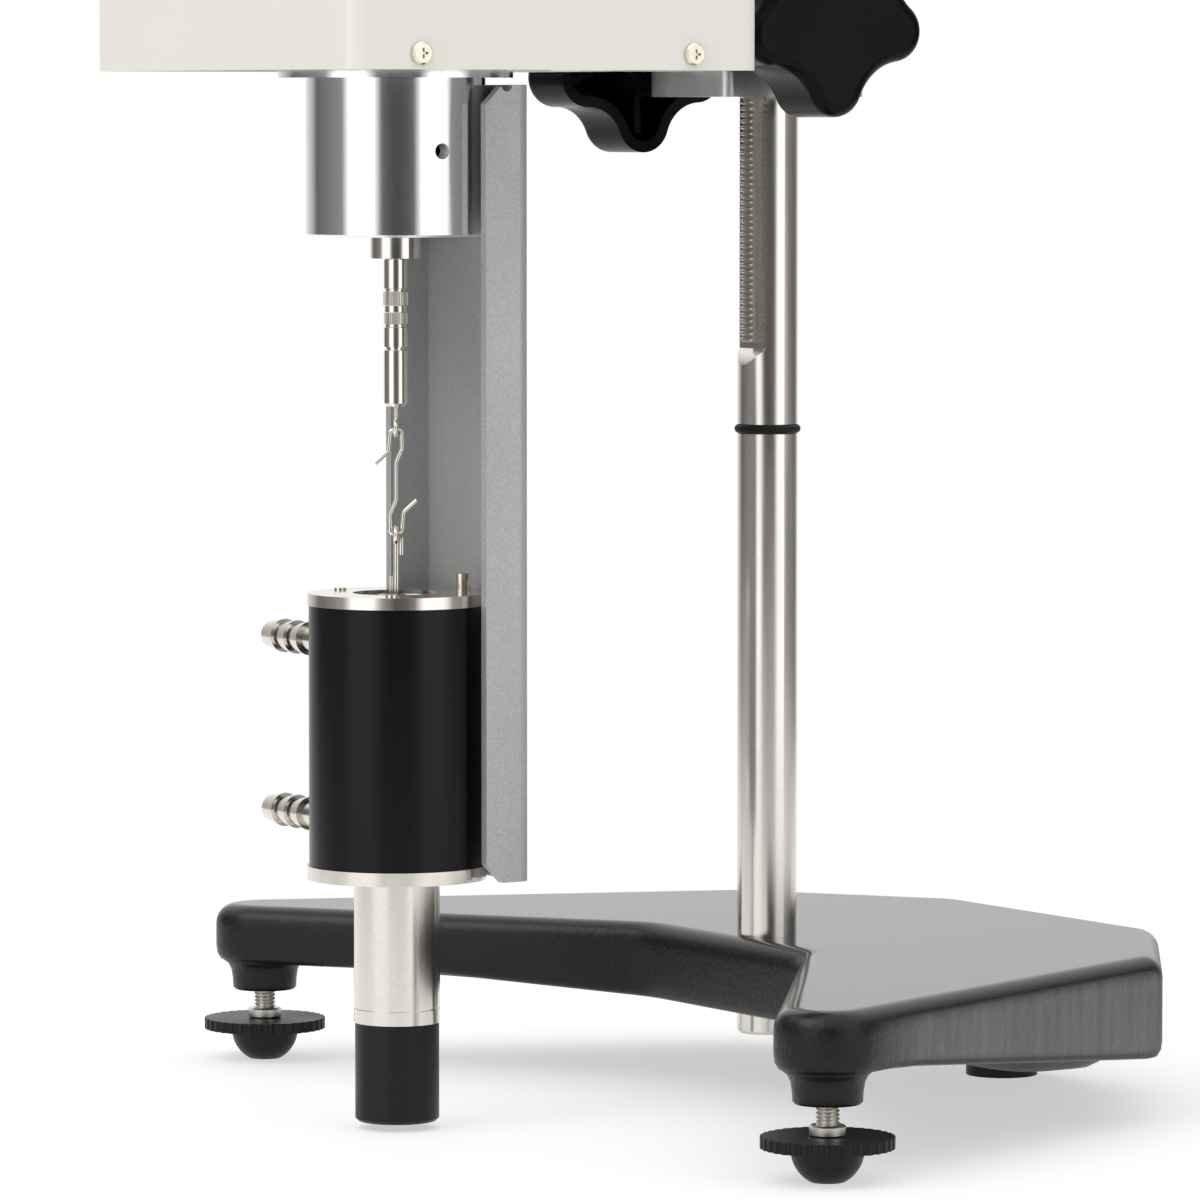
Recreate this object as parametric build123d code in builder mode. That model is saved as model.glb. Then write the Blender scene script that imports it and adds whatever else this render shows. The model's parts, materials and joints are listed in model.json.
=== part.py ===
from build123d import *
import os
from math import atan2, cos, pi, radians, sin

# Rotational viscometer with a jacketed small-sample adapter, in millimetres.
# The origin is on the floor under the post. The front faces -Y and +Z is up.

# Fits
RUN_FIT = 0.05           # radial clearance of a shaft that turns or slides in its bore
SEAT_GAP = 0.1           # between faces that move past each other
SLIP = 0.2               # all round, where a piece drops into an opening

# Base casting
FOOT_X = 139.0           # front feet, either side of the middle
FOOT_Y = -75.5
ARM_R = 13.5             # round end of each arm
BASE_TOP = 43.5
PLATE_T = 16.0
NOTCH_HALF = 38.0        # flat bottom of the front notch
NOTCH_Y = -15.0
NOTCH_R = 16.0
REAR_CORNER = (90.0, 50.0)
REAR_CORNER_R = 12.0
REAR_FLAT_HALF = 42.0
BACK_Y = 97.0
CAST_EDGE_R = 4.0
FOOT_BOSS_R = 8.8
FOOT_BOSS_H = 8.0
SKIRT_DROP = 9.5         # deeper rear part below the plate
SKIRT_FRONT_Y = 14.0
LUMP_TOP = (150.0, 58.0, 14.0)    # lump that carries the rear foot: width, depth and corner radius
LUMP_UNDERSIDE = (64.0, 32.0, 12.0)
REAR_PAD_Z = 4.0         # height of the lump's underside
REAR_FOOT_Y = 78.0
REAR_FOOT_R = 9.8

# Levelling feet
PAD_R = 9.2
PAD_FLAT_R = 4.3
PAD_H = 8.3
WHEEL_R = 16.8
WHEEL_T = 3.0
SCALLOPS = 36
SCALLOP_R = 1.0
COLLAR_R = 4.6
COLLAR_H = 2.8
STUD_R = 3.0
STUD_TOP = 35.5
STUD_BORE_TOP = 41.0

# Post and rack
POST_R = 8.0
POST_BOTTOM = 17.0
POST_TOP = 402.0
GEAR_MODULE = 0.5292     # 48 pitch
RACK_W = 5.0
RACK_BACK = 4.7          # the milled flat that carries the rack, from the post axis
RACK_BOTTOM = 201.0
RACK_END_GAP = 5.0       # post above the last tooth
FLAT_RUNOUT_R = 12.0
ORING_Z = 179.5
ORING_R = 1.2
ORING_SINK = 0.35        # how far the ring's middle lies inside the post surface
POST_EDGE = 0.8

# Clamp block, pinion and knobs
BLOCK_W = 37.4
BLOCK_FRONT = -26.3
BLOCK_BACK = 19.0
BLOCK_BOTTOM = 268.0
BLOCK_H = 46.0
BLOCK_CORNER_R = 3.0
BUSH_WALL = 1.8
BUSH_H = 10.0
PINION_TEETH = 16
PINION_Z = 290.6
PINION_JOURNAL_R = 5.1
PINION_SHAFT_R = 4.0
HEIGHT_KNOB_R = 28.0
CLAMP_KNOB_R = 26.5
KNOB_LOBES = 5
KNOB_LOBE_R = 8.0
KNOB_VALLEY = 7.0        # depth of the hollows between the lobes
KNOB_TURN = -88.0        # where one lobe points, in degrees from +Y towards +Z
KNOB_T = 19.5
KNOB_WALL = 3.0
KNOB_HUB_R = 11.5
KNOB_HUB_PROUD = 9.5     # hub beyond the rim, towards the block
KNOB_EDGE_R = 3.5
HEIGHT_KNOB_GAP = 2.0    # hub end to block side
CLAMP_KNOB_GAP = 3.5
CLAMP_Y = -19.6
CLAMP_SCREW_R = 4.0
ROD_R = 5.0
ROD_Z = 279.6
ROD_END_Y = -10.2
ROD_MOUNT_W = 34.0
ROD_MOUNT_L = 22.0
ROD_MOUNT_H = 20.0
ROD_MOUNT_EAR = 8.0

# Head
SPINDLE_REACH = 116.0    # spindle axis in front of the post axis
HEAD_W = 131.0
HEAD_FRONT = 52.5        # front face ahead of the spindle axis
HEAD_BACK = 46.5         # back face ahead of the post axis
HEAD_BOTTOM = 274.6
HEAD_H = 112.0
HEAD_CHIN = 22.0         # upright lower part of the front
HEAD_LEAN = 21.0         # how far the front leans back at the top
HEAD_EDGE_R = 4.0
COVER_WALL = 1.5
PLATE_RAISE = 1.0        # base plate underside above the cover's lower edge
BASE_PLATE_T = 6.0
COVER_SCREW_PITCH = 81.0
COVER_SCREW_R = 1.5
COVER_SCREW_HEAD_R = 2.9
COVER_SCREW_HEAD_H = 1.4
WINDOW_W = 84.0
WINDOW_H = 36.0
WINDOW_UP = 17.0         # window middle above the middle of the leaning panel
KEY_W = 16.0
KEY_H = 9.0
KEY_PITCH = 23.0
KEY_COUNT = 4
KEY_DOWN = 22.0          # keypad middle below the middle of the leaning panel
KEY_PROUD = 1.6
KEY_TRAVEL = 0.8
KEY_FLANGE_T = 1.0
BOARD_W = 106.0
BOARD_H = 84.0
BOARD_PILLAR_R = 2.5
BOARD_PILLAR_INSET = 4.0
BOARD_T = 1.6
BOARD_DEPTH = 9.0        # board face behind the panel's outer face
LEVEL_R = 9.0
LEVEL_Y = -78.0
INLET_W = 27.0
INLET_H = 20.0
INLET_X = 28.0
SWITCH_W = 13.0
SWITCH_H = 19.0
SWITCH_X = -30.0
REAR_PANEL_Z = 350.0
INLET_DEPTH = 16.0
SWITCH_DEPTH = 14.0
SWITCH_WALL = 1.2

# Drive inside the head
SHAFT_R = 2.0
HOUSING_R = 6.5
HOUSING_BORE_R = 4.0
HOUSING_BOTTOM = 226.3
HOUSING_FLANGE_R = 17.0
HOUSING_FLANGE_T = 3.0
HOUSING_LIP = 1.2
BEARING_H = 3.0
PILLAR_R = 4.0
PILLAR_SPREAD = 28.0
MOTOR_PLATE_Z = 318.0
MOTOR_PLATE_T = 4.0
MOTOR_W = 42.0
MOTOR_H = 33.0
MOTOR_BOSS_R = 11.0
MOTOR_BOSS_H = 2.0
MOTOR_SHAFT_R = 2.5
SHAFT_TOP = 303.0
DISC_R = 17.0
DISC_Z = 290.0
SPRING_TURNS = 4.5
SPRING_Z = 298.0
SPRING_H = 2.0
SPRING_T = 0.5
HUB_Z = 306.0
HUB_H = 7.0
HUB_R = 6.0
HUB_FLANGE_T = 2.0

# Adapter under the head
FLANGE_PLATE_R = 30.4
FLANGE_PLATE_Z = 272.8
GUARD_R = 23.25
GUARD_WALL = 4.5
GUARD_BOTTOM = 232.0
GUARD_FLOOR = 5.0
GUARD_HOLE_Z = 254.0
GUARD_HOLE_R = 2.1
CHANNEL_HALF = 25.0
CHANNEL_T = 2.5
CHANNEL_DEPTH = 14.0
CHANNEL_OFFSET = 23.5    # web inner face behind the spindle axis
CHANNEL_BOTTOM = 65.3
CHANNEL_TOP = 271.0
CHANNEL_CHAMFER = 5.0
CHANNEL_BEND_R = 1.2
BRACKET_SCREW_R = 2.0
BRACKET_SCREW_Z = (252.7, 104.5)
BRACKET_HEAD_R = 3.8
BRACKET_HEAD_H = 2.6

# Jacket and sample chamber
JACKET_R = 22.75
JACKET_WALL = 3.5
JACKET_FLANGE_TOP_R = 23.1
JACKET_FLANGE_BOTTOM_R = 23.35
JACKET_BOTTOM = 65.4
LOWER_FLANGE_T = 3.5
JACKET_LENGTH = 67.7
UPPER_FLANGE_T = 3.1
CHAMBER_R = 11.22
LINER_WALL = 1.7
CHAMBER_WALL = 1.72
CHAMBER_RIM_DOWN = 1.2   # chamber rim below the top flange
CHAMBER_CAP_R = 10.95
CHAMBER_CAP_TOP = 27.8
CHAMBER_RING_TOP = 31.9
FLOOR_CLEARANCE = 2.0
BARB_Z = (125.0, 78.5)
BARB_TIP = 64.0          # barb end from the spindle axis
BARB_R = 4.45
BARB_PITCH = 6.6
BARB_BORE_R = 2.7
BARB_SPIGOT_R = 3.5
BARB_RIDGES = 3
FLANGE_SCREW_RING = 17.6
FLANGE_SCREW_TURNS = (205, 325)
FLANGE_SCREW_R = 1.6
FLANGE_SCREW_H = 0.6
LOCK_SCREW = (5.0, 17.2) # screw beside the chamber rim, from the spindle axis
LOCK_SCREW_R = 2.1
LOCK_SCREW_H = 4.6

# Hanging spindle
COUPLING_R = 3.1
COUPLING_TOP = 226.0
COUPLING_SPLIT = 203.4
COUPLING_BOTTOM = 188.0
EYE_Z = 183.6
LINK_WIRE_R = 0.6
STEM_WIRE_R = 0.75
SPINDLE_EYE_Z = 154.6
EYE_R = 1.9              # middle of the wire rings
FOLD_R = 0.65            # bent-back ends of the stem wire
FOLD_SIDE = 1.35
FOLD_TOP = 144.0
BOB_R = 8.4
BOB_BOTTOM = 32.0
BOB_H = 31.0
BOB_CONE = 4.0
VIEW_TURN = 56.0         # the link's hooks lie in a plane turned this far from the X axis

# Worked out from the sizes above
AXIS_Y = -SPINDLE_REACH
AXIS_SPINDLE = Axis((0, AXIS_Y, 0), (0, 0, 1))
SPINDLE_SECTION = Plane((0, AXIS_Y, 0), x_dir=(1, 0, 0), z_dir=(0, -1, 0))
POST_SECTION = Plane((0, 0, 0), x_dir=(1, 0, 0), z_dir=(0, -1, 0))
PLATE_BOTTOM = BASE_TOP - PLATE_T
BOSS_BOTTOM = PLATE_BOTTOM - FOOT_BOSS_H
WHEEL_BOTTOM = PAD_H + SEAT_GAP
WHEEL_TOP = WHEEL_BOTTOM + WHEEL_T
PITCH_R = GEAR_MODULE * PINION_TEETH / 2
RACK_TIP = POST_R - 0.5
RACK_PITCH_LINE = RACK_TIP - GEAR_MODULE
RACK_TOOTH = pi * GEAR_MODULE
RACK_TOP = POST_TOP - RACK_END_GAP
PINION_Y = -(RACK_PITCH_LINE + PITCH_R)
BLOCK_TOP = BLOCK_BOTTOM + BLOCK_H
HEAD_FRONT_Y = AXIS_Y - HEAD_FRONT
HEAD_BACK_Y = -HEAD_BACK
HEAD_TOP = HEAD_BOTTOM + HEAD_H
PLATE_Z = HEAD_BOTTOM + PLATE_RAISE
PLATE_TOP = PLATE_Z + BASE_PLATE_T
HEAD_MIDDLE_Y = (HEAD_FRONT_Y + HEAD_BACK_Y) / 2
PANEL_RISE = HEAD_H - HEAD_CHIN
PANEL_TILT = atan2(HEAD_LEAN, PANEL_RISE)
PANEL = Plane((0, HEAD_FRONT_Y + HEAD_LEAN / 2, HEAD_BOTTOM + HEAD_CHIN + PANEL_RISE / 2),
              x_dir=(1, 0, 0), z_dir=(0, -cos(PANEL_TILT), sin(PANEL_TILT)))
JACKET_BODY_Z = JACKET_BOTTOM + LOWER_FLANGE_T
JACKET_BODY_TOP = JACKET_BODY_Z + JACKET_LENGTH
JACKET_TOP = JACKET_BODY_TOP + UPPER_FLANGE_T
CHAMBER_BORE_R = CHAMBER_R + RUN_FIT
WEB_FRONT_Y = AXIS_Y + CHANNEL_OFFSET
WEB_BACK_Y = WEB_FRONT_Y + CHANNEL_T


def turned(points, section=SPINDLE_SECTION, axis=AXIS_SPINDLE):
    """A turned piece from the corners of its half section, as (radius, height) pairs."""
    with BuildPart() as piece:
        with BuildSketch(section):
            with BuildLine():
                Polyline(*points, close=True)
            make_face()
        revolve(axis=axis)
    return piece


def tube(outer, inner, bottom, top, section=SPINDLE_SECTION, axis=AXIS_SPINDLE):
    """A plain ring or sleeve."""
    return turned([(inner, bottom), (outer, bottom), (outer, top), (inner, top)], section, axis)


def base_plan(height):
    """The base's outline: two arms, a front notch and a wide back, on a plane at a height."""
    with BuildSketch(Plane.XY.offset(height)) as plan:
        with Locations((FOOT_X, FOOT_Y)):
            Circle(ARM_R)
        with Locations(REAR_CORNER):
            Circle(REAR_CORNER_R)
        with Locations((REAR_FLAT_HALF, BACK_Y - REAR_CORNER_R)):
            Circle(REAR_CORNER_R)
        with Locations((NOTCH_HALF, NOTCH_Y + 1)):
            Circle(1)
        make_hull()
        mirror(about=Plane.YZ)
        Polygon((-NOTCH_HALF, NOTCH_Y), (NOTCH_HALF, NOTCH_Y), (REAR_FLAT_HALF, BACK_Y),
                (-REAR_FLAT_HALF, BACK_Y), align=None)
        inner_corners = plan.vertices().filter_by_position(Axis.Y, NOTCH_Y - 0.5, NOTCH_Y + 1.5)
        fillet(inner_corners, NOTCH_R)
    return plan.sketch


# Base casting with two foot bosses and the deeper back that carries the third foot
with BuildPart() as base_casting:
    add(base_plan(PLATE_BOTTOM))
    extrude(amount=PLATE_T)
    fillet(base_casting.faces().sort_by(Axis.Z)[-1].edges(), CAST_EDGE_R)
    with BuildSketch(Plane.XY.offset(PLATE_BOTTOM)):
        add(base_plan(PLATE_BOTTOM))
        with Locations((0, SKIRT_FRONT_Y + BACK_Y / 2)):
            Rectangle(4 * FOOT_X, BACK_Y, mode=Mode.INTERSECT)
    extrude(amount=-SKIRT_DROP)
    skirt_face = base_casting.faces().sort_by(Axis.Z)[0]
    chamfer(skirt_face.edges().sort_by(Axis.Y)[0], SKIRT_DROP - 1, 3 * SKIRT_DROP)
    with BuildSketch(Plane.XY.offset(PLATE_BOTTOM - SKIRT_DROP)):
        with Locations((0, REAR_FOOT_Y - 15)):
            RectangleRounded(*LUMP_TOP)
    with BuildSketch(Plane.XY.offset(REAR_PAD_Z)):
        with Locations((0, REAR_FOOT_Y - 4)):
            RectangleRounded(*LUMP_UNDERSIDE)
    loft()
    with Locations((-FOOT_X, FOOT_Y, BOSS_BOTTOM), (FOOT_X, FOOT_Y, BOSS_BOTTOM)):
        Cylinder(FOOT_BOSS_R, FOOT_BOSS_H, align=(Align.CENTER, Align.CENTER, Align.MIN))
        Cylinder(STUD_R + RUN_FIT, STUD_BORE_TOP - BOSS_BOTTOM,
                 align=(Align.CENTER, Align.CENTER, Align.MIN), mode=Mode.SUBTRACT)
    with Locations((0, 0, POST_BOTTOM)):
        Cylinder(POST_R, BASE_TOP, align=(Align.CENTER, Align.CENTER, Align.MIN), mode=Mode.SUBTRACT)

rear_foot = turned([(0, 0), (REAR_FOOT_R, 0), (REAR_FOOT_R, REAR_PAD_Z), (0, REAR_PAD_Z)],
                   Plane((0, REAR_FOOT_Y, 0), x_dir=(1, 0, 0), z_dir=(0, -1, 0)),
                   Axis((0, REAR_FOOT_Y, 0), (0, 0, 1)))


# Post with a milled flat for the rack, and a groove for its stop ring
with BuildPart() as post:
    with Locations((0, 0, POST_BOTTOM)):
        Cylinder(POST_R, POST_TOP - POST_BOTTOM, align=(Align.CENTER, Align.CENTER, Align.MIN))
    chamfer(post.edges().filter_by(GeomType.CIRCLE), POST_EDGE)
    with BuildSketch(Plane.YZ):
        with BuildLine():
            runout = RadiusArc((-RACK_BACK, RACK_BOTTOM), (-POST_R - 1, RACK_BOTTOM - 8.5), -FLAT_RUNOUT_R)
            Polyline(runout @ 1, (-POST_R - 1, POST_TOP + 1), (-RACK_BACK, POST_TOP + 1), runout @ 0)
        make_face()
    extrude(amount=POST_R, both=True, mode=Mode.SUBTRACT)
    ring_middle = POST_R - ORING_SINK
    with BuildSketch(POST_SECTION):
        with Locations((ring_middle, ORING_Z)):
            Rectangle(2 * ORING_R + 0.1, 2 * ORING_R + 0.2)
    revolve(axis=Axis.Z, mode=Mode.SUBTRACT)

with BuildPart() as stop_ring:
    with Locations((0, 0, ORING_Z)):
        Torus(ring_middle, ORING_R)

# Rack: straight-sided teeth on a strip that lies on the post's flat
tooth_depth = 2.25 * GEAR_MODULE
lowest_tooth = int((RACK_BOTTOM - PINION_Z) / RACK_TOOTH)
highest_tooth = int((RACK_TOP - PINION_Z) / RACK_TOOTH)
with BuildPart() as rack:
    with BuildSketch(Plane.YZ):
        outline = [(-RACK_BACK, RACK_BOTTOM)]
        for tooth in range(lowest_tooth, highest_tooth):
            middle = PINION_Z + (tooth + 0.5) * RACK_TOOTH
            for dy, dz in ((0, -0.36), (1, -0.11), (1, 0.11), (0, 0.36)):
                outline.append((-(RACK_TIP - tooth_depth * (1 - dy)), middle + dz * RACK_TOOTH))
        first, last = outline[1], outline[-1]
        outline[0] = (-RACK_BACK, first[1])
        outline.append((-RACK_BACK, last[1]))
        with BuildLine():
            Polyline(*outline, close=True)
        make_face()
    extrude(amount=RACK_W / 2, both=True)


# Levelling feet: a pad that slides, and a wheel on its stud that turns
def foot_pad(x):
    with BuildPart() as pad:
        section = Plane((x, FOOT_Y, 0), x_dir=(1, 0, 0), z_dir=(0, -1, 0))
        with BuildSketch(section):
            with BuildLine():
                Line((0, 0), (PAD_FLAT_R, 0))
                ThreePointArc((PAD_FLAT_R, 0), (PAD_R * 0.88, PAD_H * 0.45), (PAD_R, PAD_H))
                Polyline((PAD_R, PAD_H), (0, PAD_H), (0, 0))
            make_face()
        revolve(axis=Axis((x, FOOT_Y, 0), (0, 0, 1)))
    return pad


def foot_wheel(x):
    with BuildPart() as wheel:
        with BuildSketch(Plane.XY.offset(WHEEL_BOTTOM)):
            with Locations((x, FOOT_Y)):
                Circle(WHEEL_R)
                Circle(STUD_R, mode=Mode.SUBTRACT)
                with PolarLocations(WHEEL_R + 0.45 * SCALLOP_R, SCALLOPS):
                    Circle(SCALLOP_R, mode=Mode.SUBTRACT)
        extrude(amount=WHEEL_T)
    return wheel


def foot_stud(x):
    return turned([(0, WHEEL_BOTTOM), (STUD_R, WHEEL_BOTTOM), (STUD_R, WHEEL_TOP), (COLLAR_R, WHEEL_TOP),
                   (COLLAR_R, WHEEL_TOP + COLLAR_H), (STUD_R, WHEEL_TOP + COLLAR_H),
                   (STUD_R, STUD_TOP - 0.8), (STUD_R - 0.8, STUD_TOP), (0, STUD_TOP)],
                  Plane((x, FOOT_Y, 0), x_dir=(1, 0, 0), z_dir=(0, -1, 0)),
                  Axis((x, FOOT_Y, 0), (0, 0, 1)))


feet = {}
for side, x in (("left", -FOOT_X), ("right", FOOT_X)):
    feet[f"foot_pad_{side}"] = foot_pad(x)
    feet[f"foot_wheel_{side}"] = foot_wheel(x)
    feet[f"foot_stud_{side}"] = foot_stud(x)


# Clamp block on the post, with the pinion's cross bore and the head rod's socket
bush_outer = POST_R + RUN_FIT + BUSH_WALL
with BuildPart() as clamp_block:
    with BuildSketch(Plane.XY.offset(BLOCK_BOTTOM)):
        with Locations((0, (BLOCK_FRONT + BLOCK_BACK) / 2)):
            RectangleRounded(BLOCK_W, BLOCK_BACK - BLOCK_FRONT, BLOCK_CORNER_R)
        Circle(bush_outer, mode=Mode.SUBTRACT)
    extrude(amount=BLOCK_H)
    with BuildSketch(Plane.YZ):
        with Locations((PINION_Y, PINION_Z)):
            Circle(PINION_JOURNAL_R + RUN_FIT)
    extrude(amount=BLOCK_W, both=True, mode=Mode.SUBTRACT)
    with BuildSketch(Plane.XZ.offset(-BLOCK_FRONT)):
        with Locations((0, ROD_Z)):
            Circle(ROD_R)
    extrude(amount=BLOCK_FRONT - ROD_END_Y, mode=Mode.SUBTRACT)
    with BuildSketch(Plane.YZ.offset(-BLOCK_W)):
        with Locations((CLAMP_Y, ROD_Z)):
            Circle(CLAMP_SCREW_R + RUN_FIT)
    extrude(amount=BLOCK_W, mode=Mode.SUBTRACT)

with BuildPart() as post_bushes:
    with BuildSketch(Plane.XY.offset(BLOCK_BOTTOM), Plane.XY.offset(BLOCK_TOP - BUSH_H)):
        Circle(bush_outer)
        Circle(POST_R + RUN_FIT, mode=Mode.SUBTRACT)
    extrude(amount=BUSH_H)

# Pinion and its shaft, cut from one bar
knob_inner_x = BLOCK_W / 2 + HEIGHT_KNOB_GAP
with BuildPart() as pinion_shaft:
    with BuildSketch(Plane.YZ.offset(-BLOCK_W / 2)):
        with Locations((PINION_Y, PINION_Z)):
            Circle(PINION_JOURNAL_R)
    extrude(amount=BLOCK_W)
    with BuildSketch(Plane.YZ.offset(-RACK_W / 2 - 0.5)):
        with Locations((PINION_Y, PINION_Z)):
            Circle(PINION_JOURNAL_R + 1)
    extrude(amount=RACK_W + 1, mode=Mode.SUBTRACT)
    with BuildSketch(Plane.YZ.offset(-RACK_W / 2 - 0.5)):
        with Locations((PINION_Y, PINION_Z)):
            Circle(PITCH_R - 1.25 * GEAR_MODULE)
            with PolarLocations(PITCH_R - 0.2 * GEAR_MODULE, PINION_TEETH):
                Trapezoid(2.0 * GEAR_MODULE, 2.3 * GEAR_MODULE, 75, rotation=-90)
    extrude(amount=RACK_W + 1)
    with BuildSketch(Plane.YZ.offset(BLOCK_W / 2)):
        with Locations((PINION_Y, PINION_Z)):
            Circle(PINION_SHAFT_R)
    extrude(amount=HEIGHT_KNOB_GAP + KNOB_HUB_PROUD + KNOB_T - KNOB_WALL - 2)


def hand_knob(x_hub, outward, y, z, bore_r, radius):
    """A lobed moulded knob: domed outer face, hollow inner side, hub and ribs."""
    face = Plane((x_hub + outward * KNOB_HUB_PROUD, y, z), x_dir=(0, 1, 0), z_dir=(outward, 0, 0))
    turn = outward * KNOB_TURN
    lobe_ring = radius - KNOB_LOBE_R
    half_step = radians(180 / KNOB_LOBES)
    base = radius - KNOB_VALLEY
    hollow_r = ((lobe_ring ** 2 + base ** 2 - 2 * lobe_ring * base * cos(half_step) - KNOB_LOBE_R ** 2)
                / (2 * (KNOB_LOBE_R - base + lobe_ring * cos(half_step))))

    def lobed(inset):
        """Arcs over the lobes and through the hollows, tangent to each other."""
        with BuildSketch(face) as outline:
            with BuildLine():
                for lobe in range(KNOB_LOBES):
                    middle = radians(turn) + 2 * half_step * lobe
                    tip = Vector(cos(middle), sin(middle))
                    before = Vector(cos(middle - half_step), sin(middle - half_step))
                    after = Vector(cos(middle + half_step), sin(middle + half_step))
                    following = Vector(cos(middle + 2 * half_step), sin(middle + 2 * half_step))
                    joins = []
                    for centre, hollow in ((tip, before), (tip, after), (following, after)):
                        away = (hollow * (base + hollow_r) - centre * lobe_ring).normalized()
                        joins.append(centre * lobe_ring + away * (KNOB_LOBE_R - inset))
                    ThreePointArc(joins[0], tip * (radius - inset), joins[1])
                    ThreePointArc(joins[1], after * (base - inset), joins[2])
            make_face()
        return outline.sketch

    with BuildPart() as knob:
        add(lobed(0))
        extrude(amount=KNOB_T, dir=face.z_dir)
        fillet(knob.faces().sort_by(Axis.X)[-1 if outward > 0 else 0].edges(), KNOB_EDGE_R)
        add(lobed(KNOB_WALL))
        extrude(amount=KNOB_T - KNOB_WALL, dir=face.z_dir, mode=Mode.SUBTRACT)
        with BuildSketch(face.offset(-KNOB_HUB_PROUD)):
            Circle(KNOB_HUB_R)
        extrude(amount=KNOB_HUB_PROUD + KNOB_T - 1)
        with BuildSketch(face.offset(KNOB_WALL)):
            with PolarLocations(KNOB_HUB_R + 4, KNOB_LOBES, start_angle=turn):
                Rectangle(12, 2)
        extrude(amount=KNOB_T - KNOB_WALL - 1)
        with BuildSketch(face.offset(-KNOB_HUB_PROUD)):
            Circle(bore_r)
        extrude(amount=KNOB_HUB_PROUD + KNOB_T - KNOB_WALL - 2, mode=Mode.SUBTRACT)
    return knob


height_knob = hand_knob(knob_inner_x, 1, PINION_Y, PINION_Z, PINION_SHAFT_R, HEIGHT_KNOB_R)
clamp_hub_x = -(BLOCK_W / 2 + CLAMP_KNOB_GAP)
clamp_knob = hand_knob(clamp_hub_x, -1, CLAMP_Y, ROD_Z, CLAMP_SCREW_R, CLAMP_KNOB_R)
with BuildPart() as clamp_screw:
    with BuildSketch(Plane.YZ.offset(-ROD_R - SEAT_GAP)):
        with Locations((CLAMP_Y, ROD_Z)):
            Circle(CLAMP_SCREW_R)
    extrude(amount=clamp_hub_x - KNOB_HUB_PROUD - KNOB_T + KNOB_WALL + 2 + ROD_R + SEAT_GAP)


# Head cover: leaning front with window and key openings, open below
def head_profile(grow):
    """Side view of the head, smaller all round by -grow."""
    with BuildSketch(Plane.YZ) as profile:
        with BuildLine():
            Polyline((HEAD_FRONT_Y, HEAD_BOTTOM), (HEAD_FRONT_Y, HEAD_BOTTOM + HEAD_CHIN),
                     (HEAD_FRONT_Y + HEAD_LEAN, HEAD_TOP), (HEAD_BACK_Y, HEAD_TOP),
                     (HEAD_BACK_Y, HEAD_BOTTOM), close=True)
        make_face()
        fillet(profile.vertices().filter_by_position(Axis.Y, HEAD_BOTTOM + 1, HEAD_TOP + 1), 8)
        if grow:
            offset(amount=grow, mode=Mode.REPLACE)
    return profile.sketch


with BuildPart() as head_cover:
    add(head_profile(0))
    extrude(amount=HEAD_W / 2, dir=(1, 0, 0), both=True)
    side_faces = head_cover.faces().sort_by(Axis.X)
    long_edges = side_faces[-1].edges() + side_faces[0].edges()
    fillet(long_edges.filter_by_position(Axis.Z, HEAD_BOTTOM + 0.5, HEAD_TOP + 1), HEAD_EDGE_R)
    with BuildPart(mode=Mode.SUBTRACT):
        add(head_profile(-COVER_WALL))
        extrude(amount=HEAD_W / 2 - COVER_WALL, dir=(1, 0, 0), both=True)
    with BuildSketch(Plane.XY.offset(HEAD_BOTTOM)):
        with Locations((0, HEAD_MIDDLE_Y)):
            Rectangle(HEAD_W - 2 * COVER_WALL, HEAD_BACK_Y - HEAD_FRONT_Y - 2 * COVER_WALL)
    extrude(amount=2 * COVER_WALL, mode=Mode.SUBTRACT)
    with BuildSketch(PANEL.offset(2)):
        with Locations((0, WINDOW_UP)):
            RectangleRounded(WINDOW_W, WINDOW_H, 2)
        with Locations((0, -KEY_DOWN)):
            with GridLocations(KEY_PITCH, 0, KEY_COUNT, 1):
                RectangleRounded(KEY_W, KEY_H, 2)
    extrude(amount=-8, mode=Mode.SUBTRACT)
    with BuildSketch(Plane.XZ.offset(-HEAD_BACK_Y - 5)):
        with Locations((0, ROD_Z)):
            Circle(ROD_R + 0.5)
        with Locations((INLET_X, REAR_PANEL_Z)):
            Rectangle(INLET_W, INLET_H)
        with Locations((SWITCH_X, REAR_PANEL_Z)):
            Rectangle(SWITCH_W, SWITCH_H)
    extrude(amount=10, mode=Mode.SUBTRACT)
    with BuildSketch(Plane.XY.offset(HEAD_TOP + 1)):
        with Locations((0, LEVEL_Y)):
            Circle(LEVEL_R + SLIP)
    extrude(amount=-5, mode=Mode.SUBTRACT)
    with BuildSketch(Plane.YZ):
        for end in (-1, 1):
            with Locations((HEAD_MIDDLE_Y + end * COVER_SCREW_PITCH / 2, PLATE_Z + BASE_PLATE_T / 2)):
                Circle(COVER_SCREW_R)
    extrude(amount=HEAD_W, both=True, mode=Mode.SUBTRACT)

# Cross-recess screws through the cover into the edges of the base plate
with BuildPart() as cover_screws:
    for side in (-1, 1):
        for end in (-1, 1):
            place = Plane((side * HEAD_W / 2, HEAD_MIDDLE_Y + end * COVER_SCREW_PITCH / 2,
                           PLATE_Z + BASE_PLATE_T / 2), x_dir=(0, 1, 0), z_dir=(side, 0, 0))
            with BuildSketch(place):
                Circle(COVER_SCREW_HEAD_R)
            extrude(amount=COVER_SCREW_HEAD_H)
            with BuildSketch(place):
                Circle(COVER_SCREW_R)
            extrude(amount=-8)
            with BuildSketch(place.offset(COVER_SCREW_HEAD_H)):
                Rectangle(2.6, 0.6)
                Rectangle(0.6, 2.6)
            extrude(amount=-0.7, mode=Mode.SUBTRACT)
    chamfer(cover_screws.edges().filter_by(GeomType.CIRCLE).filter_by(
        lambda edge: edge.radius > COVER_SCREW_R + 1 and abs(edge.center().X) > HEAD_W / 2 + 1), 0.5)

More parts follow.
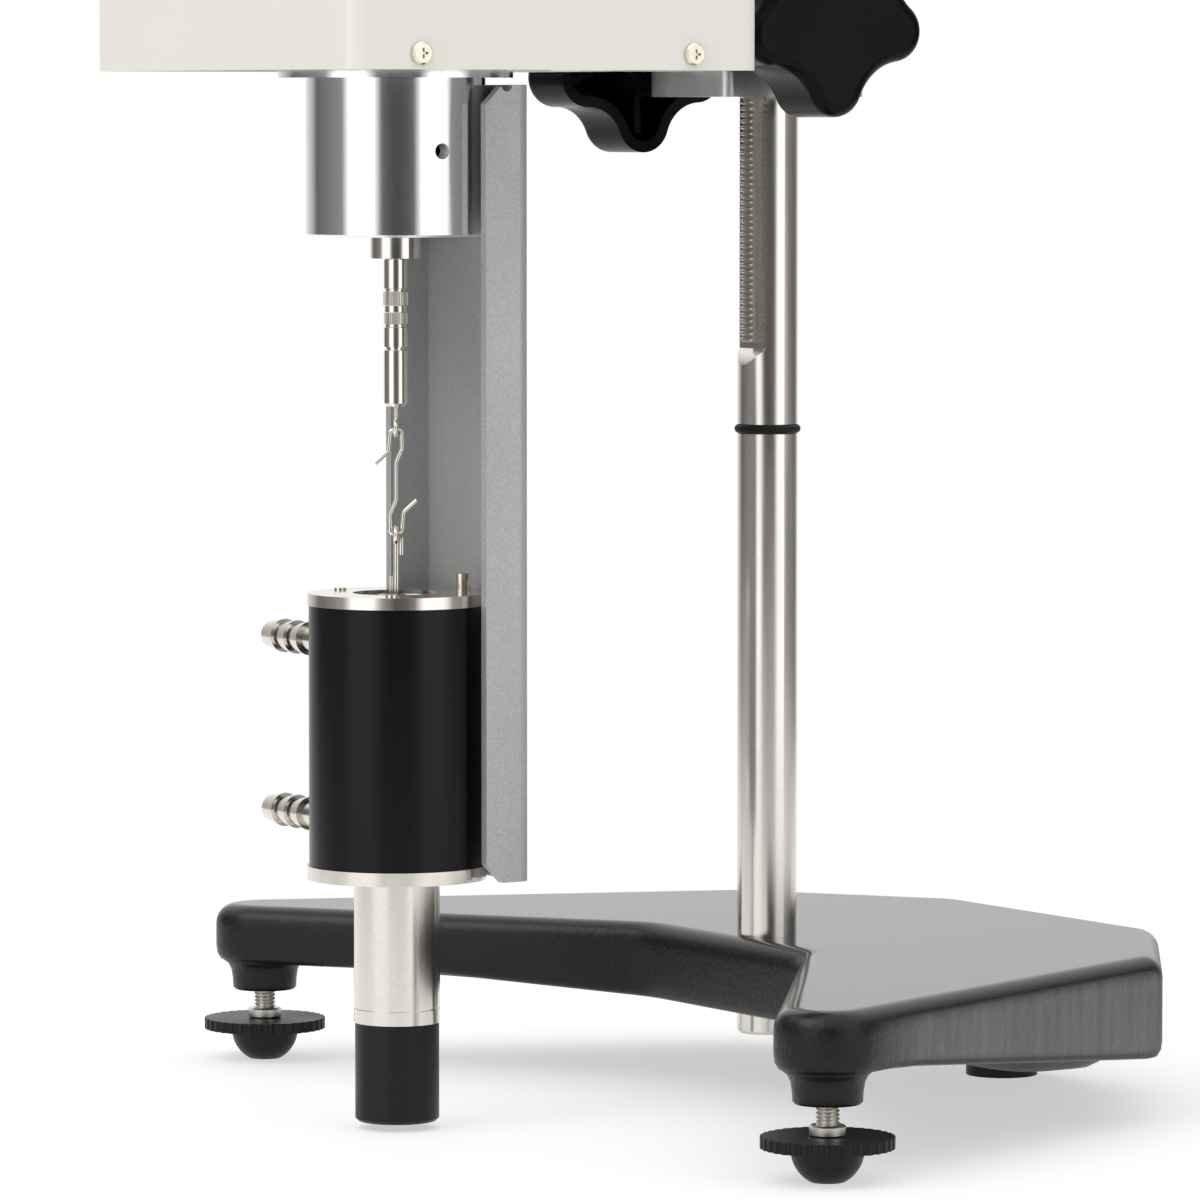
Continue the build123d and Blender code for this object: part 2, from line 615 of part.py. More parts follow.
# Base plate of the head, with the pivot bore and a slot for the rod mount
plate_w = HEAD_W - 2 * COVER_WALL - 2 * SLIP
plate_back_y = HEAD_BACK_Y - COVER_WALL - SLIP
plate_front_y = HEAD_FRONT_Y + COVER_WALL + SLIP
with BuildPart() as head_base_plate:
    with BuildSketch(Plane.XY.offset(PLATE_Z)):
        with Locations((0, (plate_back_y + plate_front_y) / 2)):
            RectangleRounded(plate_w, plate_back_y - plate_front_y, HEAD_EDGE_R)
        with Locations((0, plate_back_y)):
            Rectangle(ROD_MOUNT_W + 2 * SEAT_GAP, 2 * ROD_MOUNT_L, mode=Mode.SUBTRACT)
        with Locations((0, AXIS_Y)):
            Circle(HOUSING_R, mode=Mode.SUBTRACT)
    extrude(amount=BASE_PLATE_T)
    with BuildSketch(Plane.YZ):
        for end in (-1, 1):
            with Locations((HEAD_MIDDLE_Y + end * COVER_SCREW_PITCH / 2, PLATE_Z + BASE_PLATE_T / 2)):
                Circle(COVER_SCREW_R)
    extrude(amount=HEAD_W, both=True, mode=Mode.SUBTRACT)

with BuildPart() as rod_mount:
    with BuildSketch(Plane.XY.offset(PLATE_Z)):
        with Locations((0, plate_back_y - ROD_MOUNT_L / 2)):
            Rectangle(ROD_MOUNT_W, ROD_MOUNT_L)
    extrude(amount=ROD_MOUNT_H)
    with BuildSketch(Plane.XY.offset(PLATE_TOP)):
        with Locations((0, plate_back_y - ROD_MOUNT_L / 2)):
            Rectangle(ROD_MOUNT_W + 2 * ROD_MOUNT_EAR, ROD_MOUNT_L)
    extrude(amount=4)
    with BuildSketch(Plane.XZ.offset(-plate_back_y)):
        with Locations((0, ROD_Z)):
            Circle(ROD_R)
    extrude(amount=ROD_MOUNT_L - 2, mode=Mode.SUBTRACT)

with BuildPart() as head_rod:
    with BuildSketch(Plane.XZ.offset(-ROD_END_Y)):
        with Locations((0, ROD_Z)):
            Circle(ROD_R)
    extrude(amount=ROD_END_Y - plate_back_y + ROD_MOUNT_L - 2)
    chamfer(head_rod.edges().filter_by(GeomType.CIRCLE), 0.6)

# Display window, keys and the board behind them
with BuildPart() as display_window:
    with BuildSketch(PANEL):
        with Locations((0, WINDOW_UP)):
            RectangleRounded(WINDOW_W - 2 * SLIP, WINDOW_H - 2 * SLIP, 2)
    extrude(amount=-COVER_WALL)
    with BuildSketch(PANEL.offset(-COVER_WALL)):
        with Locations((0, WINDOW_UP)):
            RectangleRounded(WINDOW_W + 4, WINDOW_H + 4, 2)
    extrude(amount=-1.2)

with BuildPart() as display_module:
    with BuildSketch(PANEL.offset(-COVER_WALL - 1.2)):
        with Locations((0, WINDOW_UP)):
            Rectangle(WINDOW_W + 4, WINDOW_H + 4)
    extrude(amount=-(BOARD_DEPTH - COVER_WALL - 1.2))
    with BuildSketch(PANEL.offset(-COVER_WALL - 1.2)):
        with Locations((0, WINDOW_UP)):
            Rectangle(WINDOW_W - 8, WINDOW_H - 8)
    extrude(amount=-1.0, mode=Mode.SUBTRACT)

key_stop = COVER_WALL + SEAT_GAP
pillar_x = BOARD_W / 2 - BOARD_PILLAR_INSET
pillar_y = BOARD_H / 2 - BOARD_PILLAR_INSET - 1
with BuildPart() as front_board:
    with BuildSketch(PANEL.offset(-BOARD_DEPTH)):
        Rectangle(BOARD_W, BOARD_H)
    extrude(amount=-BOARD_T)
    with BuildSketch(PANEL.offset(-BOARD_DEPTH)):
        with Locations((0, -KEY_DOWN)):
            with GridLocations(KEY_PITCH, 0, KEY_COUNT, 1):
                Rectangle(6, 6)
    extrude(amount=BOARD_DEPTH - key_stop - KEY_FLANGE_T - KEY_TRAVEL - SEAT_GAP)

with BuildPart() as board_pillars:
    with BuildSketch(PANEL.offset(-COVER_WALL)):
        with GridLocations(2 * pillar_x, 2 * pillar_y, 2, 2):
            Circle(BOARD_PILLAR_R)
    extrude(amount=-(BOARD_DEPTH - COVER_WALL))

keys = {}
for number in range(KEY_COUNT):
    key_x = (number - (KEY_COUNT - 1) / 2) * KEY_PITCH
    with BuildPart() as key:
        with BuildSketch(PANEL.offset(-key_stop)):
            with Locations((key_x, -KEY_DOWN)):
                RectangleRounded(KEY_W - 2 * SLIP, KEY_H - 2 * SLIP, 1.8)
        extrude(amount=key_stop + KEY_PROUD)
        fillet(key.faces().sort_by(Axis(PANEL.origin, PANEL.z_dir))[-1].edges(), 0.6)
        with BuildSketch(PANEL.offset(-key_stop)):
            with Locations((key_x, -KEY_DOWN)):
                Rectangle(KEY_W + 2, KEY_H + 1.6)
        extrude(amount=-KEY_FLANGE_T)
    keys[f"key_{number + 1}"] = key

# Round level let into the top of the cover
bubble_level = turned([(0, -5), (LEVEL_R, -5), (LEVEL_R, 0), (LEVEL_R + 2, 0), (LEVEL_R + 2, 1.6),
                       (LEVEL_R + 1.4, 2.2), (LEVEL_R - 2, 2.2), (LEVEL_R - 2.6, 1.6),
                       (LEVEL_R - 5, 2.2), (0, 2.4)],
                      Plane((0, LEVEL_Y, HEAD_TOP), x_dir=(1, 0, 0), z_dir=(0, -1, 0)),
                      Axis((0, LEVEL_Y, 0), (0, 0, 1)))

# Power inlet and rocker switch in the back of the cover
back_face = Plane((0, HEAD_BACK_Y, 0), x_dir=(-1, 0, 0), z_dir=(0, 1, 0))
with BuildPart() as power_inlet:
    with BuildSketch(back_face):
        with Locations((-INLET_X, REAR_PANEL_Z)):
            Rectangle(INLET_W + 8, INLET_H + 5)
    extrude(amount=1.8)
    with BuildSketch(back_face):
        with Locations((-INLET_X, REAR_PANEL_Z)):
            Rectangle(INLET_W - 2 * SLIP, INLET_H - 2 * SLIP)
    extrude(amount=-INLET_DEPTH)
    with BuildSketch(back_face.offset(1.8)) as socket:
        with Locations((-INLET_X, REAR_PANEL_Z)):
            Rectangle(INLET_W - 4, INLET_H - 4)
            chamfer(socket.vertices().group_by(Axis.Z)[-1], 4)
    extrude(amount=1 - INLET_DEPTH, mode=Mode.SUBTRACT)
    with BuildSketch(back_face.offset(2.8 - INLET_DEPTH)):
        with Locations((-INLET_X, REAR_PANEL_Z - 2), (-INLET_X - 7, REAR_PANEL_Z + 1),
                       (-INLET_X + 7, REAR_PANEL_Z + 1)):
            Rectangle(2, 4)
    extrude(amount=INLET_DEPTH - 5)

with BuildPart() as switch_housing:
    with BuildSketch(back_face):
        with Locations((-SWITCH_X, REAR_PANEL_Z)):
            Rectangle(SWITCH_W + 3, SWITCH_H + 3)
    extrude(amount=1.5)
    with BuildSketch(back_face):
        with Locations((-SWITCH_X, REAR_PANEL_Z)):
            Rectangle(SWITCH_W - 2 * SLIP, SWITCH_H - 2 * SLIP)
    extrude(amount=-SWITCH_DEPTH)
    with BuildSketch(back_face.offset(1.5)):
        with Locations((-SWITCH_X, REAR_PANEL_Z)):
            Rectangle(SWITCH_W - 2 * SLIP - 2 * SWITCH_WALL, SWITCH_H - 2 * SLIP - 2 * SWITCH_WALL)
    extrude(amount=-SWITCH_DEPTH, mode=Mode.SUBTRACT)

# The rocker turns on a pin that runs along X, just behind the panel
rocker_pin_y = HEAD_BACK_Y - 3.0
rocker_half = SWITCH_H / 2 - SLIP - SWITCH_WALL - 0.5
rocker_w = SWITCH_W - 2 * SLIP - 2 * SWITCH_WALL - 2 * SLIP
with BuildPart() as power_switch:
    with BuildSketch(Plane.YZ.offset(SWITCH_X)):
        with BuildLine():
            Polyline((rocker_pin_y - 2, REAR_PANEL_Z - 3), (HEAD_BACK_Y + 0.8, REAR_PANEL_Z - rocker_half),
                     (HEAD_BACK_Y + 1.6, REAR_PANEL_Z), (HEAD_BACK_Y + 4.0, REAR_PANEL_Z + rocker_half - 0.9),
                     (HEAD_BACK_Y, REAR_PANEL_Z + rocker_half - 0.3), (rocker_pin_y - 2, REAR_PANEL_Z + 3),
                     close=True)
        make_face()
    extrude(amount=rocker_w / 2, both=True)
    with BuildSketch(Plane.YZ.offset(SWITCH_X)):
        with Locations((rocker_pin_y, REAR_PANEL_Z)):
            Circle(1.0)
    extrude(amount=rocker_w / 2 + 0.15, both=True)

# Pivot housing through the base plate, with a ball bearing at each end
housing_top = PLATE_TOP + HOUSING_FLANGE_T
pivot_housing = turned([(SHAFT_R + 0.6, HOUSING_BOTTOM), (HOUSING_R, HOUSING_BOTTOM), (HOUSING_R, PLATE_TOP),
                        (HOUSING_FLANGE_R, PLATE_TOP), (HOUSING_FLANGE_R, housing_top),
                        (HOUSING_BORE_R, housing_top), (HOUSING_BORE_R, HOUSING_BOTTOM + HOUSING_LIP),
                        (SHAFT_R + 0.6, HOUSING_BOTTOM + HOUSING_LIP)])
with BuildPart() as shaft_bearings:
    with BuildSketch(Plane.XY.offset(HOUSING_BOTTOM + HOUSING_LIP), Plane.XY.offset(housing_top - BEARING_H)):
        with Locations((0, AXIS_Y)):
            Circle(HOUSING_BORE_R)
            Circle(SHAFT_R + RUN_FIT, mode=Mode.SUBTRACT)
    extrude(amount=BEARING_H)

# Drive: motor on a plate over four pillars, hub, torsion spring, shaft and slotted disc
plate_half = PILLAR_SPREAD + PILLAR_R + 2
with BuildPart() as frame_pillars:
    with BuildSketch(Plane.XY.offset(PLATE_TOP)):
        with Locations((0, AXIS_Y)):
            with GridLocations(2 * PILLAR_SPREAD, 2 * PILLAR_SPREAD, 2, 2):
                RegularPolygon(PILLAR_R, 6)
    extrude(amount=MOTOR_PLATE_Z - PLATE_TOP)

with BuildPart() as motor_plate:
    with BuildSketch(Plane.XY.offset(MOTOR_PLATE_Z)):
        with Locations((0, AXIS_Y)):
            RectangleRounded(2 * plate_half, 2 * plate_half, 5)
            Circle(MOTOR_BOSS_R + SEAT_GAP, mode=Mode.SUBTRACT)
    extrude(amount=MOTOR_PLATE_T)

motor_z = MOTOR_PLATE_Z + MOTOR_PLATE_T
with BuildPart() as drive_motor:
    with BuildSketch(Plane.XY.offset(motor_z)) as motor_outline:
        with Locations((0, AXIS_Y)):
            Rectangle(MOTOR_W, MOTOR_W)
        chamfer(motor_outline.vertices(), 4)
    extrude(amount=MOTOR_H)
    with BuildSketch(Plane.XY.offset(motor_z - MOTOR_BOSS_H)):
        with Locations((0, AXIS_Y)):
            Circle(MOTOR_BOSS_R)
    extrude(amount=MOTOR_BOSS_H)
    with BuildSketch(Plane.XY.offset(motor_z - MOTOR_BOSS_H)):
        with Locations((0, AXIS_Y)):
            Circle(MOTOR_SHAFT_R + RUN_FIT)
    extrude(amount=MOTOR_H, mode=Mode.SUBTRACT)

shaft_end = motor_z + MOTOR_H - MOTOR_BOSS_H - 1
shaft_start = HUB_Z + HUB_FLANGE_T
motor_shaft = turned([(0, shaft_start), (MOTOR_SHAFT_R, shaft_start), (MOTOR_SHAFT_R, shaft_end), (0, shaft_end)])
spring_outer = DISC_R - 3
with BuildPart() as drive_hub:
    with BuildSketch(Plane.XY.offset(HUB_Z)):
        with Locations((0, AXIS_Y)):
            Circle(DISC_R)
            Circle(SHAFT_R + 0.4, mode=Mode.SUBTRACT)
    extrude(amount=HUB_FLANGE_T)
    with BuildSketch(Plane.XY.offset(HUB_Z + HUB_FLANGE_T)):
        with Locations((0, AXIS_Y)):
            Circle(HUB_R)
            Circle(MOTOR_SHAFT_R, mode=Mode.SUBTRACT)
    extrude(amount=HUB_H - HUB_FLANGE_T)
    with BuildSketch(Plane.XY.offset(HUB_Z)):
        with Locations((spring_outer + 1.4, AXIS_Y)):
            Circle(1.0)
    extrude(amount=SPRING_Z - HUB_Z - 0.5)

# Flat spiral spring between the shaft's collar and the hub's post
spring_inner = SHAFT_R + 1.6
with BuildPart() as torsion_spring:
    with BuildSketch(Plane.XY.offset(SPRING_Z)):
        with BuildLine():
            turns = []
            for edge in (1, -1):
                run = [step / 60 for step in range(61)]
                if edge < 0:
                    run.reverse()
                side = []
                for share in run:
                    radius = spring_inner + (spring_outer - spring_inner) * share + edge * SPRING_T / 2
                    angle = 2 * pi * SPRING_TURNS * (share - 1)
                    side.append((radius * cos(angle), AXIS_Y + radius * sin(angle)))
                turns.append(Spline(*side))
            Line(turns[0] @ 1, turns[1] @ 0)
            Line(turns[1] @ 1, turns[0] @ 0)
        make_face()
    extrude(amount=SPRING_H)

pivot_shaft = turned([(0, HOUSING_BOTTOM - 8), (SHAFT_R, HOUSING_BOTTOM - 8), (SHAFT_R, SPRING_Z - 1),
                      (spring_inner - SPRING_T / 2 - 0.05, SPRING_Z - 1),
                      (spring_inner - SPRING_T / 2 - 0.05, SPRING_Z + SPRING_H + 1),
                      (SHAFT_R, SPRING_Z + SPRING_H + 1), (SHAFT_R, SHAFT_TOP), (0, SHAFT_TOP)])
with BuildPart() as slotted_disc:
    with BuildSketch(Plane.XY.offset(DISC_Z)):
        with Locations((0, AXIS_Y)):
            Circle(DISC_R)
            Circle(SHAFT_R, mode=Mode.SUBTRACT)
            with PolarLocations(DISC_R - 3, 12):
                Rectangle(3, 1.4, mode=Mode.SUBTRACT)
    extrude(amount=1.2)

# Fork sensor that reads the slotted disc
sensor_x = DISC_R + 1
with BuildPart() as disc_sensor:
    with BuildSketch(Plane.XZ.offset(SPINDLE_REACH)):
        with Locations((-sensor_x, (PLATE_TOP + DISC_Z + 6) / 2)):
            Rectangle(10, DISC_Z + 6 - PLATE_TOP)
        with Locations((-sensor_x + 2, DISC_Z + 0.6)):
            Rectangle(7, 3.2, mode=Mode.SUBTRACT)
        with Locations((-sensor_x + 3.5, PLATE_TOP + 1.6)):
            Rectangle(7.5, 3.8, mode=Mode.SUBTRACT)
    extrude(amount=3, both=True)


# Flange plate and guard cylinder under the head
flange_plate = tube(FLANGE_PLATE_R, HOUSING_R, FLANGE_PLATE_Z, PLATE_Z)
with BuildPart() as guard_cylinder:
    with BuildSketch(SPINDLE_SECTION):
        with BuildLine():
            Polyline((HOUSING_R + 0.3, GUARD_BOTTOM), (GUARD_R - 0.6, GUARD_BOTTOM),
                     (GUARD_R, GUARD_BOTTOM + 0.6),
                     (GUARD_R, FLANGE_PLATE_Z), (GUARD_R - GUARD_WALL, FLANGE_PLATE_Z),
                     (GUARD_R - GUARD_WALL, GUARD_BOTTOM + GUARD_FLOOR),
                     (HOUSING_R + 0.3, GUARD_BOTTOM + GUARD_FLOOR), close=True)
        make_face()
    revolve(axis=AXIS_SPINDLE)
    with BuildSketch(Plane.YZ):
        with Locations((AXIS_Y, GUARD_HOLE_Z)):
            Circle(GUARD_HOLE_R)
    extrude(amount=GUARD_R, mode=Mode.SUBTRACT)
    with BuildSketch(Plane.XZ.offset(-WEB_FRONT_Y)):
        with Locations((0, BRACKET_SCREW_Z[0])):
            Circle(BRACKET_SCREW_R)
    extrude(amount=GUARD_WALL + 2, mode=Mode.SUBTRACT)

# Folded channel that carries the jacket
with BuildPart() as channel_bracket:
    flange_front = WEB_BACK_Y - CHANNEL_DEPTH
    with BuildSketch(Plane.XY.offset(CHANNEL_BOTTOM)) as channel_section:
        with Locations((0, WEB_BACK_Y - CHANNEL_DEPTH / 2)):
            Rectangle(2 * CHANNEL_HALF, CHANNEL_DEPTH)
        fillet(channel_section.vertices().group_by(Axis.Y)[-1], CHANNEL_BEND_R + CHANNEL_T)
        with Locations((0, WEB_FRONT_Y - CHANNEL_DEPTH / 2)):
            Rectangle(2 * (CHANNEL_HALF - CHANNEL_T), CHANNEL_DEPTH, mode=Mode.SUBTRACT)
    extrude(amount=CHANNEL_TOP - CHANNEL_BOTTOM)
    with BuildSketch(Plane.YZ):
        for z, up in ((CHANNEL_BOTTOM, 1), (CHANNEL_TOP, -1)):
            with BuildLine():
                Polyline((flange_front, z), (flange_front + CHANNEL_CHAMFER, z),
                         (flange_front, z + up * CHANNEL_CHAMFER), close=True)
            make_face()
        with Locations((WEB_BACK_Y - CHANNEL_DEPTH * 0.55, CHANNEL_TOP)):
            Circle(1.7)
    extrude(amount=CHANNEL_HALF, both=True, mode=Mode.SUBTRACT)
    with BuildSketch(Plane.XZ.offset(-WEB_BACK_Y)):
        for z in BRACKET_SCREW_Z:
            with Locations((0, z)):
                Circle(BRACKET_SCREW_R)
    extrude(amount=CHANNEL_T, mode=Mode.SUBTRACT)

with BuildPart() as bracket_screws:
    for z, grip in zip(BRACKET_SCREW_Z, (GUARD_WALL - 0.5, JACKET_WALL - 0.5)):
        with BuildSketch(Plane.XZ.offset(-WEB_BACK_Y)):
            with Locations((0, z)):
                Circle(BRACKET_SCREW_R)
        extrude(amount=CHANNEL_T + grip)
        with BuildSketch(Plane.XZ.offset(-WEB_BACK_Y)):
            with Locations((0, z)):
                Circle(BRACKET_HEAD_R)
        extrude(amount=-BRACKET_HEAD_H)
        with BuildSketch(Plane.XZ.offset(-WEB_BACK_Y - BRACKET_HEAD_H)):
            with Locations((0, z)):
                RegularPolygon(1.4, 6)
        extrude(amount=1.6, mode=Mode.SUBTRACT)
    head_face_y = WEB_BACK_Y + BRACKET_HEAD_H
    head_faces = bracket_screws.faces().filter_by_position(Axis.Y, head_face_y - 0.1, head_face_y + 0.1)
    fillet(head_faces.edges().filter_by(GeomType.CIRCLE), 0.9)

# Water jacket: upper flange, and a lower flange with the liner welded in
liner_outer = CHAMBER_BORE_R + LINER_WALL
jacket_upper_flange = tube(JACKET_FLANGE_TOP_R, CHAMBER_BORE_R, JACKET_BODY_TOP, JACKET_TOP)
jacket_lower_flange = turned([(CHAMBER_BORE_R, JACKET_BOTTOM), (JACKET_FLANGE_BOTTOM_R, JACKET_BOTTOM),
                              (JACKET_FLANGE_BOTTOM_R, JACKET_BODY_Z), (liner_outer, JACKET_BODY_Z),
                              (liner_outer, JACKET_BODY_TOP), (CHAMBER_BORE_R, JACKET_BODY_TOP)])
with BuildPart() as jacket_shell:
    with BuildSketch(Plane.XY.offset(JACKET_BODY_Z)):
        with Locations((0, AXIS_Y)):
            Circle(JACKET_R)
            Circle(JACKET_R - JACKET_WALL, mode=Mode.SUBTRACT)
    extrude(amount=JACKET_LENGTH)
    with BuildSketch(Plane.YZ):
        for z in BARB_Z:
            with Locations((AXIS_Y, z)):
                Circle(BARB_SPIGOT_R)
    extrude(amount=-JACKET_R, mode=Mode.SUBTRACT)
    with BuildSketch(Plane.XZ.offset(-WEB_FRONT_Y)):
        with Locations((0, BRACKET_SCREW_Z[1])):
            Circle(BRACKET_SCREW_R)
    extrude(amount=JACKET_WALL + 2, mode=Mode.SUBTRACT)

# Hose barbs, turned about their own axes, with a threaded spigot in the shell
with BuildPart() as hose_barbs:
    for z in BARB_Z:
        barb_plane = Plane((0, AXIS_Y, z), x_dir=(-1, 0, 0), z_dir=(0, -1, 0))
        shell_face = JACKET_R + 0.3
        ridges = []
        for ridge in range(BARB_RIDGES):
            start = BARB_TIP - ridge * BARB_PITCH
            ridges += [(start, BARB_R - 0.9), (start - BARB_PITCH, BARB_R)]
        with BuildSketch(barb_plane):
            with BuildLine():
                Polyline((JACKET_R - JACKET_WALL, BARB_BORE_R), (BARB_TIP, BARB_BORE_R), *ridges,
                         (BARB_TIP - BARB_RIDGES * BARB_PITCH, BARB_R - 1), (shell_face + 3, BARB_R - 1),
                         (shell_face + 3, BARB_R + 0.8), (shell_face, BARB_R + 0.8),
                         (shell_face, BARB_SPIGOT_R), (JACKET_R - JACKET_WALL, BARB_SPIGOT_R), close=True)
            make_face()
        revolve(axis=Axis((0, AXIS_Y, z), (1, 0, 0)))

# Small slotted screws in the top flange
with BuildPart() as flange_screws:
    for turn in FLANGE_SCREW_TURNS:
        place = Plane((0, AXIS_Y, JACKET_TOP), x_dir=(cos(radians(turn)), sin(radians(turn)), 0))
        with BuildSketch(place):
            with Locations((FLANGE_SCREW_RING, 0)):
                Circle(FLANGE_SCREW_R)
        extrude(amount=FLANGE_SCREW_H)
    with BuildSketch(Plane.XY.offset(JACKET_TOP)):
        with Locations((LOCK_SCREW[0], AXIS_Y + LOCK_SCREW[1])):
            Circle(LOCK_SCREW_R)
    extrude(amount=LOCK_SCREW_H)
    with BuildSketch(Plane.XY.offset(JACKET_TOP + LOCK_SCREW_H)):
        with Locations((LOCK_SCREW[0], AXIS_Y + LOCK_SCREW[1])):
            Rectangle(5, 0.8)
    extrude(amount=-1.4, mode=Mode.SUBTRACT)

# Sample chamber: steel cup with a locating ring, and its black end cap
chamber_inner = CHAMBER_R - CHAMBER_WALL
chamber_top = JACKET_TOP - CHAMBER_RIM_DOWN
sample_chamber = turned([(0, CHAMBER_CAP_TOP), (CHAMBER_R, CHAMBER_CAP_TOP),
                         (CHAMBER_R, CHAMBER_RING_TOP - 0.5),
                         (CHAMBER_R - 0.4, CHAMBER_RING_TOP - 0.5), (CHAMBER_R - 0.4, CHAMBER_RING_TOP),
                         (CHAMBER_R, CHAMBER_RING_TOP), (CHAMBER_R, chamber_top), (chamber_inner, chamber_top),
                         (chamber_inner, CHAMBER_CAP_TOP + 2), (0, CHAMBER_CAP_TOP + 2)])
chamber_cap = turned([(0, FLOOR_CLEARANCE), (CHAMBER_CAP_R - 0.8, FLOOR_CLEARANCE),
                      (CHAMBER_CAP_R, FLOOR_CLEARANCE + 0.8), (CHAMBER_CAP_R, CHAMBER_CAP_TOP),
                      (0, CHAMBER_CAP_TOP)])


# Coupling on the drive shaft: knurled nut, sleeve and hook stem
coupling_bore = SHAFT_R
nut_floor = HOUSING_BOTTOM - 8
coupling_nut = turned([(0, COUPLING_SPLIT), (COUPLING_R, COUPLING_SPLIT), (COUPLING_R, 208.4), (2.8, 208.6),
                       (2.8, 209.2), (COUPLING_R, 209.4), (COUPLING_R, 212.2), (2.9, 212.4), (2.9, 214.0),
                       (3.25, 214.2), (3.25, 217.6), (2.7, 217.8), (2.7, 218.3), (COUPLING_R, 218.5),
                       (COUPLING_R, COUPLING_TOP), (coupling_bore, COUPLING_TOP), (coupling_bore, nut_floor),
                       (0, nut_floor)])
HOOK_PLANE = Plane((0, AXIS_Y, 0), x_dir=(cos(radians(VIEW_TURN)), sin(radians(VIEW_TURN)), 0),
                   z_dir=(sin(radians(VIEW_TURN)), -cos(radians(VIEW_TURN)), 0))
RING_DIR = Vector(cos(radians(VIEW_TURN)), sin(radians(VIEW_TURN)), 0)
hook_middle = EYE_Z - 1.2
with BuildPart() as coupling_sleeve:
    with BuildSketch(SPINDLE_SECTION):
        with BuildLine():
            Polyline((0, hook_middle + EYE_R), (LINK_WIRE_R, hook_middle + EYE_R), (LINK_WIRE_R, COUPLING_BOTTOM),
                     (COUPLING_R - 0.6, COUPLING_BOTTOM), (COUPLING_R, COUPLING_BOTTOM + 0.8),
                     (COUPLING_R, COUPLING_SPLIT - 0.9), (COUPLING_R - 0.7, COUPLING_SPLIT - 0.7),
                     (COUPLING_R - 0.7, COUPLING_SPLIT), (0, COUPLING_SPLIT), close=True)
        make_face()
    revolve(axis=AXIS_SPINDLE)
    with Locations(Plane((0, AXIS_Y, hook_middle), z_dir=RING_DIR)):
        Torus(EYE_R, LINK_WIRE_R)


def bent_wire(points, bends, radius):
    """Wire along straight runs with rounded bends, in the plane of the hooks."""
    with BuildPart() as wire:
        with BuildLine(HOOK_PLANE) as route:
            FilletPolyline(*points, radius=bends)
        with BuildSketch(Plane(route.line @ 0, z_dir=route.line % 0)):
            Circle(radius)
        sweep()
    return wire


hook_top = hook_middle - EYE_R + 2 * LINK_WIRE_R - 0.1
hook_foot = SPINDLE_EYE_Z + EYE_R - (STEM_WIRE_R - 0.1) - LINK_WIRE_R + 0.1
link_wire = bent_wire([(-5.4, hook_top - 8.3), (-2.0, hook_top - 5.2), (-1.5, hook_top), (1.5, hook_top + 0.5),
                       (1.6, hook_top - 4.6), (0, hook_top - 8.3), (0, hook_foot + 8.3), (-1.6, hook_foot + 4.6),
                       (-1.5, hook_foot - 0.5), (1.5, hook_foot), (2.0, hook_foot + 5.2), (5.4, hook_foot + 8.3)],
                      [1.2, 1.0, 1.0, 1.2, 1.4, 1.4, 1.2, 1.0, 1.0, 1.2], LINK_WIRE_R)

# Spindle: cylinder with cone ends on a wire stem that ends in an eye
stem_top = SPINDLE_EYE_Z - 1.6
bob_top = BOB_BOTTOM + BOB_H
with BuildPart() as spindle:
    with BuildSketch(SPINDLE_SECTION):
        with BuildLine():
            Polyline((0, BOB_BOTTOM), (BOB_R, BOB_BOTTOM + BOB_CONE), (BOB_R, bob_top),
                     (STEM_WIRE_R + 0.6, bob_top + 3), (STEM_WIRE_R + 0.6, bob_top + 8),
                     (STEM_WIRE_R, bob_top + 8),
                     (STEM_WIRE_R, stem_top), (0, stem_top), close=True)
        make_face()
    revolve(axis=AXIS_SPINDLE)
    with Locations(Plane((0, AXIS_Y, SPINDLE_EYE_Z), z_dir=RING_DIR)):
        Torus(EYE_R, STEM_WIRE_R - 0.1)
    fold = HOOK_PLANE.x_dir * FOLD_SIDE
    with Locations((fold.X, AXIS_Y + fold.Y, stem_top - 3.5)):
        Cylinder(FOLD_R, 4.5, align=(Align.CENTER, Align.CENTER, Align.MIN))
    with Locations((-fold.X, AXIS_Y - fold.Y, bob_top + 1)):
        Cylinder(FOLD_R, FOLD_TOP - bob_top - 1, align=(Align.CENTER, Align.CENTER, Align.MIN))


pieces = {
    "base_casting": base_casting, "rear_foot": rear_foot, "post": post, "stop_ring": stop_ring, "rack": rack,
    **feet, "clamp_block": clamp_block, "post_bushes": post_bushes, "pinion_shaft": pinion_shaft,
    "height_knob": height_knob, "clamp_knob": clamp_knob, "clamp_screw": clamp_screw, "head_rod": head_rod,
    "rod_mount": rod_mount, "head_cover": head_cover, "cover_screws": cover_screws,
    "head_base_plate": head_base_plate, "display_window": display_window, "display_module": display_module,
    "front_board": front_board, "board_pillars": board_pillars, **keys, "bubble_level": bubble_level,
    "power_inlet": power_inlet, "switch_housing": switch_housing, "power_switch": power_switch,
    "pivot_housing": pivot_housing, "shaft_bearings": shaft_bearings, "frame_pillars": frame_pillars,
    "motor_plate": motor_plate, "drive_motor": drive_motor, "motor_shaft": motor_shaft, "drive_hub": drive_hub,
    "torsion_spring": torsion_spring, "pivot_shaft": pivot_shaft, "slotted_disc": slotted_disc,
    "disc_sensor": disc_sensor, "flange_plate": flange_plate, "guard_cylinder": guard_cylinder,
    "channel_bracket": channel_bracket, "bracket_screws": bracket_screws,
    "jacket_upper_flange": jacket_upper_flange, "jacket_lower_flange": jacket_lower_flange,
    "jacket_shell": jacket_shell, "hose_barbs": hose_barbs, "flange_screws": flange_screws,
    "sample_chamber": sample_chamber, "chamber_cap": chamber_cap, "coupling_nut": coupling_nut,
    "coupling_sleeve": coupling_sleeve, "link_wire": link_wire, "spindle": spindle,
}

